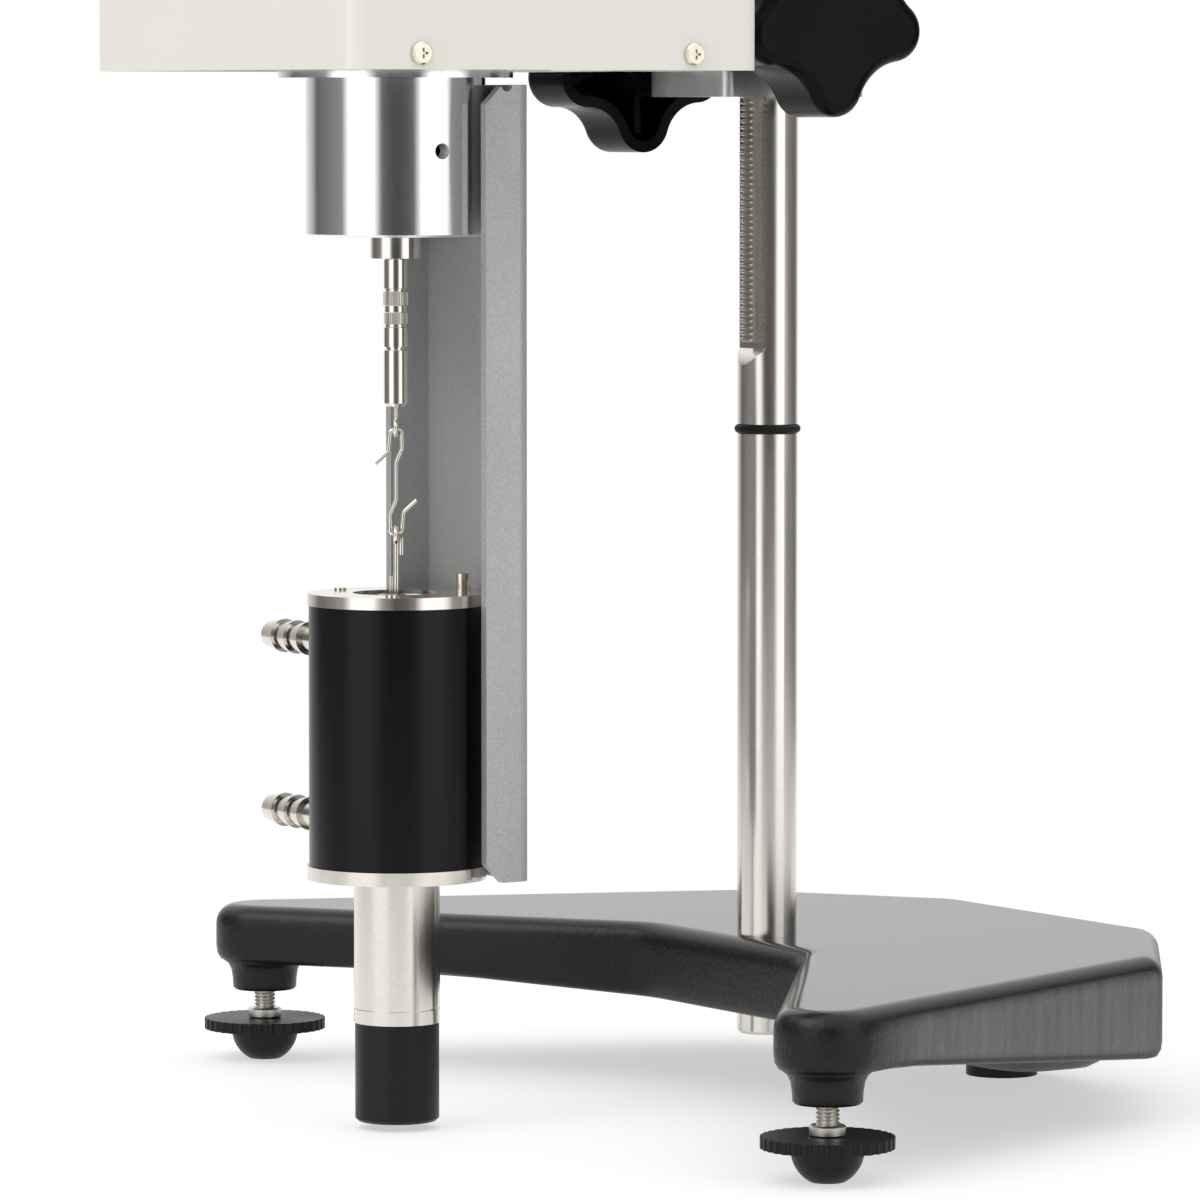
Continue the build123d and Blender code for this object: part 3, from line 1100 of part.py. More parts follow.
os.makedirs("parts", exist_ok=True)
for name, piece in pieces.items():
    piece.part.label = name
    export_step(piece.part, f"parts/{name}.step")
print(len(pieces), "pieces")
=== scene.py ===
import json
import math

import bpy
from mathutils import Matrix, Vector


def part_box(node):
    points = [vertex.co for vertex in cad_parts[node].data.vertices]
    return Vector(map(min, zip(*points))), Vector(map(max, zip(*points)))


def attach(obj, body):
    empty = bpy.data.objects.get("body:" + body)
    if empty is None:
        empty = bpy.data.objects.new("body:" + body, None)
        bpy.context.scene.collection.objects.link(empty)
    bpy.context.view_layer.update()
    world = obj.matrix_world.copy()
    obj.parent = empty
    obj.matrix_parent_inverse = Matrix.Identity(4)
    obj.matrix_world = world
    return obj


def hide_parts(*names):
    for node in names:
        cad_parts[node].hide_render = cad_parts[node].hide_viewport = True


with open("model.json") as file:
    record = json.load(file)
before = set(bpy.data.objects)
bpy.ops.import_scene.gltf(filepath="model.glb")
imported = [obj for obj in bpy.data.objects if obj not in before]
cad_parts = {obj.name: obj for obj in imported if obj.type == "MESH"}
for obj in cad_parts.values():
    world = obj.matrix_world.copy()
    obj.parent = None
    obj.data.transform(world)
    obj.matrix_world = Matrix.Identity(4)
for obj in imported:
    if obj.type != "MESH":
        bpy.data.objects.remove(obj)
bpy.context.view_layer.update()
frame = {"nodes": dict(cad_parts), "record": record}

# Camera, in metres, from the fit to the photograph
CAMERA_TURN = math.radians(56)
CAMERA_DISTANCE = 1.92594
CAMERA_HEIGHT = 0.26484
CAMERA_PAN = math.radians(1.3338)
CAMERA_PITCH = math.radians(3.9032)
LENS_MM = 216.0
SENSOR_MM = 36.0
TOWARDS_CAMERA = Vector((math.sin(CAMERA_TURN), -math.cos(CAMERA_TURN), 0))
CAMERA_REACH = 100

# Studio, as (place, tone): place runs from 0, straight behind the object, to 1, straight in front of it
STUDIO_TURN = CAMERA_TURN + math.radians(6)
STUDIO_BANDS = [(0.0, 1.0), (0.025, 0.8), (0.12, 0.52), (0.22, 0.13), (0.42, 0.2), (0.63, 0.26),
                (0.735, 1.5), (0.92, 1.5), (0.968, 0.15), (1.0, 0.07)]
OVERHEAD_TONE = 1.5
OVERHEAD_FROM, OVERHEAD_TO = 0.35, 0.75

# Spindle's axis and the knurls round it
SPINDLE_Y = -0.116
SPINDLE_AXIS = (0, SPINDLE_Y, 0)
KNURL_BANDS = [(0.2094, 0.2122), (0.2142, 0.2176)]
KNURL_RIDGES = 44
KNURL_DEPTH = 0.00009

# Levelling studs, with the collars on their wheels
STUD_CREST_R = 0.003
STUD_PITCH = 0.001
STUD_DEPTH = 0.00055
STUD_CREST_FLAT = 1.15
COLLAR_R = 0.0046
COLLAR_H = 0.0028
COLLAR_RIM = 0.0004
COLLAR_HOLE_R = 0.0026


def new_material(name, color, metallic, roughness):
    """A material and its shader."""
    material = bpy.data.materials.new(name)
    material.use_nodes = True
    shader = material.node_tree.nodes["Principled BSDF"]
    shader.inputs["Base Color"].default_value = (*color, 1)
    shader.inputs["Metallic"].default_value = metallic
    shader.inputs["Roughness"].default_value = roughness
    return material, shader


def coordinates(material, stretch=(1, 1, 1), centre=(0, 0, 0)):
    """Object coordinates in metres, moved and stretched."""
    nodes, links = material.node_tree.nodes, material.node_tree.links
    source = nodes.new("ShaderNodeTexCoord")
    mapping = nodes.new("ShaderNodeMapping")
    mapping.inputs["Location"].default_value = [-c * s for c, s in zip(centre, stretch)]
    mapping.inputs["Scale"].default_value = stretch
    links.new(source.outputs["Object"], mapping.inputs["Vector"])
    return mapping.outputs["Vector"]


def noise(material, vector, scale, detail=3.0):
    texture = material.node_tree.nodes.new("ShaderNodeTexNoise")
    texture.inputs["Scale"].default_value = scale
    texture.inputs["Detail"].default_value = detail
    material.node_tree.links.new(vector, texture.inputs["Vector"])
    return texture.outputs["Fac"]


def spread(material, value, low, high, from_low=0.3, from_high=0.7):
    """The value mapped to a range."""
    node = material.node_tree.nodes.new("ShaderNodeMapRange")
    node.inputs["From Min"].default_value = from_low
    node.inputs["From Max"].default_value = from_high
    node.inputs["To Min"].default_value = low
    node.inputs["To Max"].default_value = high
    material.node_tree.links.new(value, node.inputs["Value"])
    return node.outputs["Result"]


def calculate(material, operation, *values):
    """One arithmetic step on sockets or numbers."""
    node = material.node_tree.nodes.new("ShaderNodeMath")
    node.operation = operation
    for socket, value in zip(node.inputs, values):
        if isinstance(value, (int, float)):
            socket.default_value = value
        else:
            material.node_tree.links.new(value, socket)
    return node.outputs["Value"]


def raise_surface(material, shader, height, depth, strength=1.0):
    """Bump of a real depth in metres, on top of any bump that is there."""
    nodes, links = material.node_tree.nodes, material.node_tree.links
    bump = nodes.new("ShaderNodeBump")
    bump.inputs["Distance"].default_value = depth
    bump.inputs["Strength"].default_value = strength
    links.new(height, bump.inputs["Height"])
    if shader.inputs["Normal"].is_linked:
        links.new(shader.inputs["Normal"].links[0].from_socket, bump.inputs["Normal"])
    links.new(bump.outputs["Normal"], shader.inputs["Normal"])


def vary_color(material, shader, value, dark, light):
    """Base colour between two tones."""
    nodes, links = material.node_tree.nodes, material.node_tree.links
    mix = nodes.new("ShaderNodeMix")
    mix.data_type = "RGBA"
    mix.inputs["A"].default_value = (*dark, 1)
    mix.inputs["B"].default_value = (*light, 1)
    links.new(value, mix.inputs["Factor"])
    links.new(mix.outputs["Result"], shader.inputs["Base Color"])


def painted(name, color, roughness, peel):
    """Sprayed paint with a faint orange peel."""
    material, shader = new_material(name, color, 0, roughness)
    vector = coordinates(material)
    raise_surface(material, shader, noise(material, vector, 900), peel)
    worn = noise(material, vector, 14, 2)
    vary_color(material, shader, spread(material, worn, 0, 1), [c * 0.975 for c in color], color)
    return material


def turned(name, color, roughness, pitch=0.0002, centre=(0, 0, 0), depth=0.000002):
    """Turned metal: fine rings up the axis, and streaks of roughness."""
    material, shader = new_material(name, color, 1, roughness)
    rings = noise(material, coordinates(material, (0.3, 0.3, 1), centre), 1 / pitch, 2)
    raise_surface(material, shader, rings, depth)
    streaks = noise(material, coordinates(material, (1, 1, 0.05), centre), 260, 3)
    links = material.node_tree.links
    links.new(spread(material, streaks, roughness * 0.75, roughness * 1.35), shader.inputs["Roughness"])
    vary_color(material, shader, spread(material, rings, 0, 1), [c * 0.93 for c in color], color)
    return material


def sparkling(name, color, roughness, metallic=1.0):
    """Raw sheet with a bright grain that catches the light."""
    material, shader = new_material(name, color, metallic, roughness)
    vector = coordinates(material)
    grain = noise(material, vector, 1900, 2)
    cloud = noise(material, coordinates(material, (1, 1, 0.35)), 60, 4)
    raise_surface(material, shader, grain, 0.00003, 0.8)
    links = material.node_tree.links
    links.new(spread(material, cloud, roughness * 0.8, roughness * 1.25), shader.inputs["Roughness"])
    vary_color(material, shader, spread(material, grain, 0, 1, 0.35, 0.72), [c * 0.8 for c in color], color)
    return material


def black_finish(name, tone, roughness, grain_scale, depth, specular=0.5):
    """Black or grey plastic, rubber or paint: the grain's scale and depth tell them apart."""
    material, shader = new_material(name, (tone, tone, tone * 1.04), 0, roughness)
    shader.inputs["Specular IOR Level"].default_value = specular
    vector = coordinates(material)
    grain = noise(material, vector, grain_scale, 4)
    raise_surface(material, shader, grain, depth)
    handled = noise(material, vector, 45, 3)
    links = material.node_tree.links
    links.new(spread(material, handled, roughness * 0.85, roughness * 1.2), shader.inputs["Roughness"])
    vary_color(material, shader, spread(material, grain, 0, 1), [tone * 0.75] * 3, [tone * 1.3] * 3)
    return material


def cast_paint(name):
    """Glossy black paint over a casting: smooth on top, pebbled at the sides, with a painted sheen that
    lightens the sides facing along X behind the feet.
    """
    material = black_finish(name, 0.012, 0.27, 1500, 0.00001, 0.27)
    shader = material.node_tree.nodes["Principled BSDF"]
    nodes, links = material.node_tree.nodes, material.node_tree.links
    facing = nodes.new("ShaderNodeNewGeometry")
    split = nodes.new("ShaderNodeSeparateXYZ")
    links.new(facing.outputs["Normal"], split.inputs["Vector"])
    side = spread(material, split.outputs["Z"], 1, 0, 0.3, 0.9)
    vector = coordinates(material)
    pits = noise(material, vector, 700, 5)
    raise_surface(material, shader, calculate(material, "MULTIPLY", pits, side), 0.0003, 0.8)
    # Painted sheen: the sides that face along X, behind the feet, are painted lighter in vertical streaks, as
    # if a lamp at the side lit them.
    outward = spread(material, calculate(material, "ABSOLUTE", split.outputs["X"]), 0, 1, 0.8, 0.92)
    place = nodes.new("ShaderNodeSeparateXYZ")
    links.new(vector, place.inputs["Vector"])
    behind_feet = spread(material, place.outputs["Y"], 0, 1, -0.072, -0.05)
    sheen_sides = calculate(material, "MULTIPLY", outward, behind_feet)
    streaks = noise(material, coordinates(material, (1, 1, 0.12)), 300, 3)
    painted_sheen = calculate(material, "MULTIPLY", sheen_sides, spread(material, streaks, 0.7, 1.0))
    links.new(spread(material, side, 0.15, 0.36, 0, 1), shader.inputs["Roughness"])
    # Painted sheen: near black elsewhere, grey on those sides.
    vary_color(material, shader, painted_sheen, [0.006] * 3, [0.125] * 3)
    return material


def knurled(name, color):
    """Turned metal whose knurled bands carry straight ridges round the spindle's axis."""
    material = turned(name, color, 0.16, centre=SPINDLE_AXIS)
    shader = material.node_tree.nodes["Principled BSDF"]
    nodes, links = material.node_tree.nodes, material.node_tree.links
    split = nodes.new("ShaderNodeSeparateXYZ")
    links.new(coordinates(material, centre=SPINDLE_AXIS), split.inputs["Vector"])
    angle = calculate(material, "ARCTAN2", split.outputs["Y"], split.outputs["X"])
    ridge = calculate(material, "SINE", calculate(material, "MULTIPLY", angle, KNURL_RIDGES))
    inside = 0.0
    for low, high in KNURL_BANDS:
        above = calculate(material, "GREATER_THAN", split.outputs["Z"], low)
        below = calculate(material, "LESS_THAN", split.outputs["Z"], high)
        band = calculate(material, "MULTIPLY", above, below)
        inside = calculate(material, "ADD", inside, band)
    raise_surface(material, shader, calculate(material, "MULTIPLY", ridge, inside), KNURL_DEPTH)
    return material


def glassy(name, color):
    """Clear plastic with a faint smear."""
    material, shader = new_material(name, color, 0, 0.05)
    shader.inputs["Transmission Weight"].default_value = 0.85
    shader.inputs["IOR"].default_value = 1.49
    smear = noise(material, coordinates(material), 60, 3)
    material.node_tree.links.new(spread(material, smear, 0.03, 0.09), shader.inputs["Roughness"])
    return material


def plain_display(name):
    """Grey-green liquid crystal panel, switched off, with its faint row of cells."""
    material, shader = new_material(name, (0.30, 0.37, 0.24), 0, 0.35)
    cells = noise(material, coordinates(material, (1, 0.2, 0.2)), 700, 1)
    vary_color(material, shader, spread(material, cells, 0, 1), (0.27, 0.34, 0.22), (0.33, 0.40, 0.26))
    return material


NICKEL = (0.80, 0.755, 0.69)
MATERIALS = {
    "cast_black": cast_paint("cast_black"),
    "foot_black": black_finish("foot_black", 0.006, 0.42, 1400, 0.00003, 0.25),
    "wheel_black": black_finish("wheel_black", 0.006, 0.4, 1400, 0.00003, 0.25),
    "stud_zinc": turned("stud_zinc", (0.72, 0.70, 0.64), 0.25),
    "post_steel": turned("post_steel", (0.76, 0.72, 0.675), 0.2, 0.00025, depth=0.000003),
    "ring_rubber": black_finish("ring_rubber", 0.006, 0.55, 2000, 0.00002, 0.2),
    "rack_steel": turned("rack_steel", (0.64, 0.60, 0.54), 0.34, 0.0004),
    "block_alu": sparkling("block_alu", (0.86, 0.86, 0.86), 0.36),
    "bush_brass": turned("bush_brass", (0.78, 0.60, 0.28), 0.25),
    "steel_plain": turned("steel_plain", (0.62, 0.61, 0.60), 0.25),
    "knob_black": black_finish("knob_black", 0.003, 0.26, 1600, 0.00001, 0.09),
    "alu_plain": sparkling("alu_plain", (0.78, 0.78, 0.79), 0.3),
    "cover_cream": painted("cover_cream", (0.80, 0.78, 0.725), 0.4, 0.000012),
    "screw_nickel": turned("screw_nickel", (0.78, 0.73, 0.62), 0.22),
    "window_glass": glassy("window_glass", (0.86, 0.90, 0.88)),
    "display_green": plain_display("display_green"),
    "board_green": painted("board_green", (0.03, 0.16, 0.07), 0.4, 0.00002),
    "key_grey": black_finish("key_grey", 0.16, 0.5, 1500, 0.00003),
    "level_green": glassy("level_green", (0.45, 0.68, 0.18)),
    "inlet_black": black_finish("inlet_black", 0.015, 0.4, 1500, 0.00003),
    "rocker_black": black_finish("rocker_black", 0.013, 0.22, 1500, 0.00001),
    "nickel_steel": turned("nickel_steel", NICKEL, 0.17, 0.0003, SPINDLE_AXIS),
    "motor_grey": painted("motor_grey", (0.12, 0.12, 0.13), 0.45, 0.00002),
    "spring_bronze": turned("spring_bronze", (0.74, 0.52, 0.27), 0.25),
    "alu_polished": turned("alu_polished", (0.93, 0.93, 0.94), 0.11, 0.00035, SPINDLE_AXIS),
    "alu_raw": sparkling("alu_raw", (0.47, 0.475, 0.48), 0.42, 0.35),
    "jacket_black": black_finish("jacket_black", 0.003, 0.24, 2400, 0.00001, 0.2),
    "cap_black": black_finish("cap_black", 0.006, 0.42, 1800, 0.00002, 0.25),
}
COUPLING = knurled("coupling_knurl", NICKEL)

for part in frame["record"]["subparts"]:
    node = frame["nodes"][part["node"]]
    chosen = COUPLING if part["node"] == "coupling_nut" else MATERIALS[part["material_slot"]]
    for slot in node.material_slots:
        slot.material = chosen


def turns(count):
    """Angles all the way round."""
    return [2 * math.pi * k / count for k in range(count)]


def circle(x, y, z, radius, count):
    """Points round an upright axis."""
    return [(x + radius * math.cos(angle), y + radius * math.sin(angle), z) for angle in turns(count)]


def skinned(name, rings, closed_ends=True):
    """A smooth mesh over rings of equal length, each a list of 3D points."""
    around = len(rings[0])
    points = [point for ring in rings for point in ring]
    faces = []
    for ring in range(len(rings) - 1):
        for k in range(around):
            a = ring * around + k
            b = ring * around + (k + 1) % around
            faces.append((a, b, b + around, a + around))
    if closed_ends:
        faces.append(tuple(reversed(range(around))))
        faces.append(tuple(range((len(rings) - 1) * around, len(rings) * around)))
    mesh = bpy.data.meshes.new(name)
    mesh.from_pydata(points, [], faces)
    mesh.polygons.foreach_set("use_smooth", [True] * len(mesh.polygons))
    piece = bpy.data.objects.new(name, mesh)
    bpy.context.collection.objects.link(piece)
    return piece


def thread_ridge(turn):
    """Height of a V thread, from 0 at its root to 1 at its crest."""
    return 1 - abs(2 * (turn % 1.0) - 1)


def threaded_stud(node_name):
    """Levelling stud with its real thread, in place of the plain shaft."""
    low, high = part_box(node_name)
    low, high = Vector(low), Vector(high)
    middle = (low + high) / 2
    around, per_turn = 48, 12
    steps = int((high.z - low.z) / STUD_PITCH * per_turn)
    rings = []
    for step in range(steps + 1):
        z = low.z + (high.z - low.z) * step / steps
        ring = []
        for k, angle in enumerate(turns(around)):
            ridge = thread_ridge(z / STUD_PITCH - k / around)
            radius = STUD_CREST_R - STUD_DEPTH * (1 - min(1.0, ridge * STUD_CREST_FLAT))
            ring.append((middle.x + radius * math.cos(angle), middle.y + radius * math.sin(angle), z))
        rings.append(ring)
    stud = skinned(node_name + "_thread", rings)
    stud.data.materials.append(MATERIALS["stud_zinc"])
    return stud


def collar(node_name):
    """Nut-like collar that the stud carries on top of its wheel, with rounded rims."""
    low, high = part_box(node_name)
    middle = (Vector(low) + Vector(high)) / 2
    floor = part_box(node_name.replace("stud", "wheel"))[1][2]
    profile = [(COLLAR_HOLE_R, 0), (COLLAR_R - COLLAR_RIM, 0), (COLLAR_R, COLLAR_RIM),
               (COLLAR_R, COLLAR_H - COLLAR_RIM), (COLLAR_R - COLLAR_RIM, COLLAR_H),
               (COLLAR_HOLE_R, COLLAR_H)]
    around = 48
    points = []
    for radius, rise in profile:
        points += circle(middle.x, middle.y, floor + rise, radius, around)
    rings = len(profile)
    faces = []
    for ring in range(rings):
        for k in range(around):
            a = ring * around + k
            b = ring * around + (k + 1) % around
            c = ((ring + 1) % rings) * around
            faces.append((a, b, c + (k + 1) % around, c + k))
    mesh = bpy.data.meshes.new(node_name + "_collar")
    mesh.from_pydata(points, [], faces)
    piece = bpy.data.objects.new(node_name + "_collar", mesh)
    bpy.context.collection.objects.link(piece)
    mesh.materials.append(MATERIALS["stud_zinc"])
    return piece


for side in ("left", "right"):
    node_name = f"foot_stud_{side}"
    for piece in (threaded_stud(node_name), collar(node_name)):
        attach(piece, f"wheel_{side}")
        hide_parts(node_name)


# Base casting: the plan is straight tangents between circles, as (centre, radius) in metres
FOOT_AT = Vector((0.139, -0.0755))
PLAN_CIRCLES = [(Vector((0.0323, -0.031)), -0.016), (FOOT_AT, 0.0135), (Vector((0.090, 0.050)), 0.012),
                (Vector((0.042, 0.085)), 0.012)]
BASE_TOP_Z = 0.0435
BASE_EDGE_R = 0.0055
FRONT_UNDERSIDE_Z = 0.0275
REAR_UNDERSIDE_Z = 0.0165
TAPER_FROM_Y, TAPER_TO_Y = -0.055, 0.055
STUD_HOLE_R = 0.00305
STUD_HOLE_TOP = 0.041
BELOW_BOSS_Z, ABOVE_BOSS_Z = 0.01, 0.05

# Skirt's lower edge, as (inset, lift) from the inside out
LOWER_EDGE = ((0.006, 0.0), (0.0035, 0.0), (0.0012, 0.0007), (0.0003, 0.0022), (0.0, 0.0045))

# Foot boss, as (radius, height) from the bottom up
BOSS_BOTTOM_Z = 0.0195
BOSS_PROFILE = ((0.0082, BOSS_BOTTOM_Z), (0.0088, BOSS_BOTTOM_Z + 0.0006), (0.0089, 0.0225),
                (0.0093, 0.0250), (0.0102, 0.0268), (0.0118, 0.0280), (0.0122, 0.031))

# Rear lump, as (half width, half depth, middle Y, height) from the bottom up
LUMP_RINGS = ((0.026, 0.013, 0.076, 0.0041), (0.031, 0.0155, 0.0755, 0.0047),
              (0.035, 0.0175, 0.075, 0.0065), (0.041, 0.020, 0.073, 0.010),
              (0.052, 0.0235, 0.069, 0.0145), (0.066, 0.026, 0.064, 0.019))


def base_outline():
    """Points anticlockwise round the plan: arcs of the circles, joined by their tangents."""
    normals = [-math.pi / 2]
    for (here, r), (there, r_next) in zip(PLAN_CIRCLES, PLAN_CIRCLES[1:]):
        away = there - here
        turn = math.asin((r - r_next) / away.length)
        normals.append(math.atan2(away.y, away.x) - math.pi / 2 + turn)
    normals.append(math.pi / 2)
    right = []
    for (centre, radius), start, end in zip(PLAN_CIRCLES, normals, normals[1:]):
        steps = max(3, int(abs(end - start) / math.radians(9)))
        for step in range(steps + 1):
            angle = start + (end - start) * step / steps
            right.append(centre + Vector((math.cos(angle), math.sin(angle))) * radius)
    outline = []
    for here, there in zip(right, right[1:]):
        pieces = max(1, round((there - here).length / 0.012))
        outline += [here.lerp(there, k / pieces) for k in range(pieces)]
    outline.append(right[-1])
    return outline + [Vector((-point.x, point.y)) for point in reversed(outline)]


def inset(outline, amount):
    """The outline moved inwards along its own normals."""
    moved = []
    for k, point in enumerate(outline):
        along = (outline[(k + 1) % len(outline)] - outline[k - 1]).normalized()
        moved.append(point + Vector((-along.y, along.x)) * amount)
    return moved


def underside(y):
    """Height of the skirt's lower edge, which sinks towards the back."""
    share = min(1.0, max(0.0, (y - TAPER_FROM_Y) / (TAPER_TO_Y - TAPER_FROM_Y)))
    return FRONT_UNDERSIDE_Z + (REAR_UNDERSIDE_Z - FRONT_UNDERSIDE_Z) * share


def base_plate():
    """The casting's plate, deeper towards the back, with a rounded top edge and a broken lower one."""
    plan = base_outline()
    rings = []
    for amount, lift in LOWER_EDGE:
        rings.append([(p.x, p.y, underside(p.y) + lift) for p in inset(plan, amount)])
    rings.append([(p.x, p.y, BASE_TOP_Z - BASE_EDGE_R - 0.001) for p in plan])
    for step in range(7):
        angle = math.pi / 2 * step / 6
        amount = BASE_EDGE_R * (1 - math.cos(angle))
        height = BASE_TOP_Z - BASE_EDGE_R * (1 - math.sin(angle))
        rings.append([(p.x, p.y, height) for p in inset(plan, amount)])
    rings.append([(p.x, p.y, BASE_TOP_Z) for p in inset(plan, BASE_EDGE_R + 0.0015)])
    return skinned("base_plate", rings)


def boss(name, x, y):
    """Foot boss that flares into the arm above it."""
    return skinned(name, [circle(x, y, z, radius, 48) for radius, z in BOSS_PROFILE])


def rear_lump():
    """Rounded block under the back that carries the fixed foot."""
    rings = []
    for half_x, half_y, middle_y, z in LUMP_RINGS:
        ring = []
        for angle in turns(72):
            c, s = math.cos(angle), math.sin(angle)
            square = (abs(c) ** 4 + abs(s) ** 4) ** 0.25
            ring.append((half_x * c / square, middle_y + half_y * s / square, z))
        rings.append(ring)
    return skinned("rear_lump", rings)


def drilled(piece, places, high):
    """Round holes for the studs, from below a piece up to a height."""
    for x, y in places:
        cutter = skinned("cutter", [circle(x, y, z, STUD_HOLE_R, 32) for z in (BELOW_BOSS_Z, high)])
        cut = piece.modifiers.new("hole", "BOOLEAN")
        cut.operation = "DIFFERENCE"
        cut.solver = "EXACT"
        cut.object = cutter
        shaped = bpy.data.meshes.new_from_object(piece.evaluated_get(bpy.context.evaluated_depsgraph_get()))
        piece.modifiers.clear()
        piece.data = shaped
        bpy.data.objects.remove(cutter)


def make_base():
    places = [(-FOOT_AT.x, FOOT_AT.y), (FOOT_AT.x, FOOT_AT.y)]
    parts = [base_plate(), rear_lump()]
    parts += [boss(f"foot_boss_{side}", x, y) for side, (x, y) in zip(("left", "right"), places)]
    drilled(parts[0], places, STUD_HOLE_TOP)
    for part, place in zip(parts[2:], places):
        drilled(part, [place], ABOVE_BOSS_Z)
    for part in parts:
        part.data.materials.clear()
        part.data.materials.append(MATERIALS["cast_black"])
        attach(part, "base")
        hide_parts("base_casting")


make_base()


# Threaded side hole of the guard, along X
GUARD_HOLE_Z = 0.254
THREAD_FROM_X, THREAD_TO_X = 0.0189, 0.0229
THREAD_OUTER_R, THREAD_ROOT_R, THREAD_CREST_R = 0.00205, 0.00195, 0.00172
GUARD_THREAD_PITCH = 0.0007
LEAD_IN_LENGTH, LEAD_IN_SLOPE = 0.0005, 0.6


def in_guard_hole(x, radius, angle):
    """A point round the hole's own axis."""
    return x, SPINDLE_Y + radius * math.cos(angle), GUARD_HOLE_Z + radius * math.sin(angle)


def guard_thread():
    """Thread inside the hole, with a cone that leads into it."""
    around, steps = 40, 70
    rings = []
    for step in range(steps + 1):
        x = THREAD_FROM_X + (THREAD_TO_X - THREAD_FROM_X) * step / steps
        opened = max(0.0, x - THREAD_TO_X + LEAD_IN_LENGTH) * LEAD_IN_SLOPE
        ring = []
        for k, angle in enumerate(turns(around)):
            ridge = thread_ridge(x / GUARD_THREAD_PITCH - k / around)
            radius = THREAD_ROOT_R - (THREAD_ROOT_R - THREAD_CREST_R) * ridge
            radius = max(radius, min(THREAD_ROOT_R, THREAD_CREST_R + opened))
            ring.append(in_guard_hole(x, radius, angle))
        rings.append(ring)
    for x in (THREAD_TO_X, THREAD_FROM_X):
        rings.append([in_guard_hole(x, THREAD_OUTER_R, angle) for angle in turns(around)])
    rings.append(rings[0])
    piece = skinned("guard_thread", rings, closed_ends=False)
    piece.data.materials.append(MATERIALS["alu_plain"])
    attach(piece, "carriage")


guard_thread()


# Floor that fades to white away from the object
def make_floor():
    mesh = bpy.data.meshes.new("floor")
    edge = [(math.cos(math.radians(step)), math.sin(math.radians(step)), 0) for step in range(0, 360, 5)]
    mesh.from_pydata(edge, [], [tuple(range(len(edge)))])
    floor = bpy.data.objects.new("floor", mesh)
    bpy.context.collection.objects.link(floor)
    material, shader = new_material("floor_white", (0.86, 0.86, 0.86), 0, 0.6)
    shader.inputs["Specular IOR Level"].default_value = 0.1
    nodes, links = material.node_tree.nodes, material.node_tree.links
    glow = nodes.new("ShaderNodeEmission")
    glow.inputs["Strength"].default_value = 1.0
    mix = nodes.new("ShaderNodeMixShader")
    length = nodes.new("ShaderNodeVectorMath")
    length.operation = "LENGTH"
    links.new(coordinates(material), length.inputs[0])
    links.new(spread(material, length.outputs["Value"], 0.55, 1.0, 0.12, 0.6), mix.inputs["Fac"])
    links.new(shader.outputs["BSDF"], mix.inputs[1])
    links.new(glow.outputs["Emission"], mix.inputs[2])
    links.new(mix.outputs["Shader"], nodes["Material Output"].inputs["Surface"])
    mesh.materials.append(material)


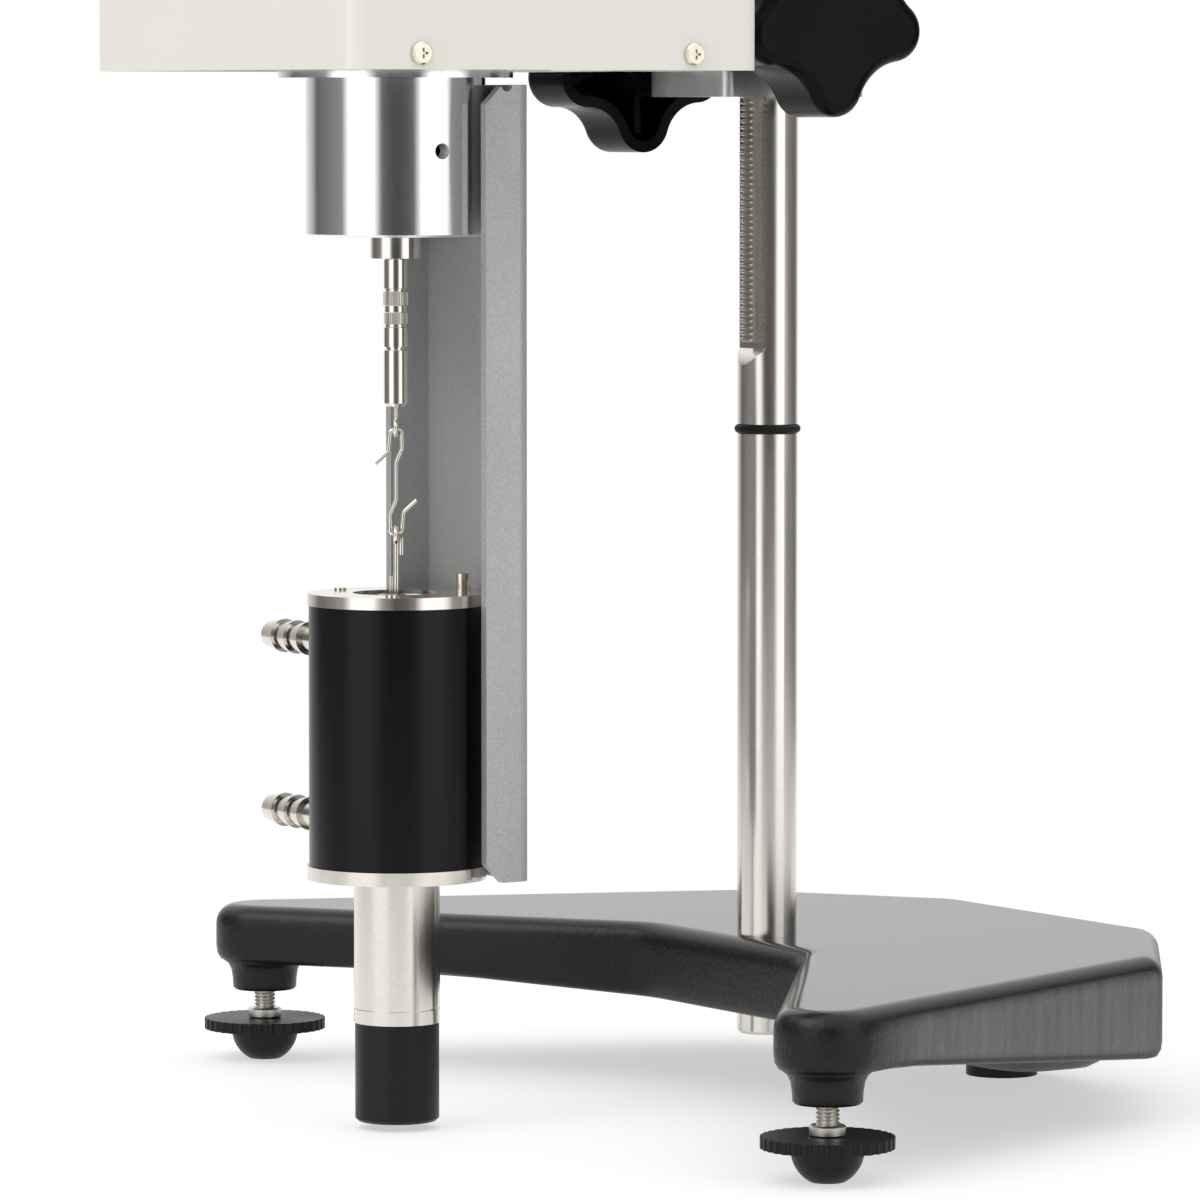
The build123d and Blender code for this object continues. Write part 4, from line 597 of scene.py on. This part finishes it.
# Studio: white behind the object, softboxes either side of the camera and dark between them
def make_world():
    world = bpy.data.worlds.new("studio")
    bpy.context.scene.world = world
    world.use_nodes = True
    nodes, links = world.node_tree.nodes, world.node_tree.links
    background = nodes["Background"]
    source = nodes.new("ShaderNodeTexCoord")
    flat = nodes.new("ShaderNodeVectorMath")
    flat.operation = "MULTIPLY"
    flat.inputs[1].default_value = (1, 1, 0)
    links.new(source.outputs["Generated"], flat.inputs[0])
    unit = nodes.new("ShaderNodeVectorMath")
    unit.operation = "NORMALIZE"
    links.new(flat.outputs["Vector"], unit.inputs[0])
    facing = nodes.new("ShaderNodeVectorMath")
    facing.operation = "DOT_PRODUCT"
    facing.inputs[1].default_value = (math.sin(STUDIO_TURN), -math.cos(STUDIO_TURN), 0)
    links.new(unit.outputs["Vector"], facing.inputs[0])
    bands = nodes.new("ShaderNodeMapRange")
    bands.inputs["From Min"].default_value = -1
    links.new(facing.outputs["Value"], bands.inputs["Value"])
    ramp = nodes.new("ShaderNodeValToRGB")
    while len(ramp.color_ramp.elements) < len(STUDIO_BANDS):
        ramp.color_ramp.elements.new(0.5)
    for element, (place, tone) in zip(ramp.color_ramp.elements, STUDIO_BANDS):
        element.position = place
        element.color = (tone, tone, tone, 1)
    links.new(bands.outputs["Result"], ramp.inputs["Fac"])
    split = nodes.new("ShaderNodeSeparateXYZ")
    links.new(source.outputs["Generated"], split.inputs["Vector"])
    height = nodes.new("ShaderNodeMapRange")
    height.inputs["From Min"].default_value = OVERHEAD_FROM
    height.inputs["From Max"].default_value = OVERHEAD_TO
    links.new(split.outputs["Z"], height.inputs["Value"])
    overhead = nodes.new("ShaderNodeMix")
    overhead.data_type = "RGBA"
    overhead.inputs["B"].default_value = (OVERHEAD_TONE, OVERHEAD_TONE, OVERHEAD_TONE, 1)
    links.new(height.outputs["Result"], overhead.inputs["Factor"])
    links.new(ramp.outputs["Color"], overhead.inputs["A"])
    seen = nodes.new("ShaderNodeLightPath")
    behind = nodes.new("ShaderNodeMix")
    behind.data_type = "RGBA"
    behind.inputs["B"].default_value = (1, 1, 1, 1)
    plain = nodes.new("ShaderNodeMath")
    plain.operation = "MAXIMUM"
    links.new(seen.outputs["Is Camera Ray"], plain.inputs[0])
    links.new(seen.outputs["Is Transmission Ray"], plain.inputs[1])
    links.new(plain.outputs["Value"], behind.inputs["Factor"])
    links.new(overhead.outputs["Result"], behind.inputs["A"])
    links.new(behind.outputs["Result"], background.inputs["Color"])


def make_camera():
    data = bpy.data.cameras.new("camera")
    data.lens = LENS_MM
    data.sensor_width = SENSOR_MM
    data.clip_end = CAMERA_REACH
    camera = bpy.data.objects.new("camera", data)
    bpy.context.collection.objects.link(camera)
    camera.location = TOWARDS_CAMERA * CAMERA_DISTANCE + Vector((0, 0, CAMERA_HEIGHT))
    heading = CAMERA_TURN + CAMERA_PAN
    forward = Vector((-math.sin(heading) * math.cos(CAMERA_PITCH), math.cos(heading) * math.cos(CAMERA_PITCH),
                      -math.sin(CAMERA_PITCH)))
    camera.rotation_mode = "QUATERNION"
    camera.rotation_quaternion = forward.to_track_quat("-Z", "Y")
    bpy.context.scene.camera = camera


def add_softbox(name, place, target, size, power):
    data = bpy.data.lights.new(name, "AREA")
    data.size = size
    data.energy = power
    light = bpy.data.objects.new(name, data)
    bpy.context.collection.objects.link(light)
    light.location = place
    light.rotation_mode = "QUATERNION"
    light.rotation_quaternion = (Vector(target) - Vector(place)).to_track_quat("-Z", "Y")


make_floor()
make_world()
make_camera()
add_softbox("key_light", place=(0.1, -1.7, 2.2), target=(0, 0, 0.15), size=1.6, power=17)

bpy.context.scene.view_settings.view_transform = "Standard"
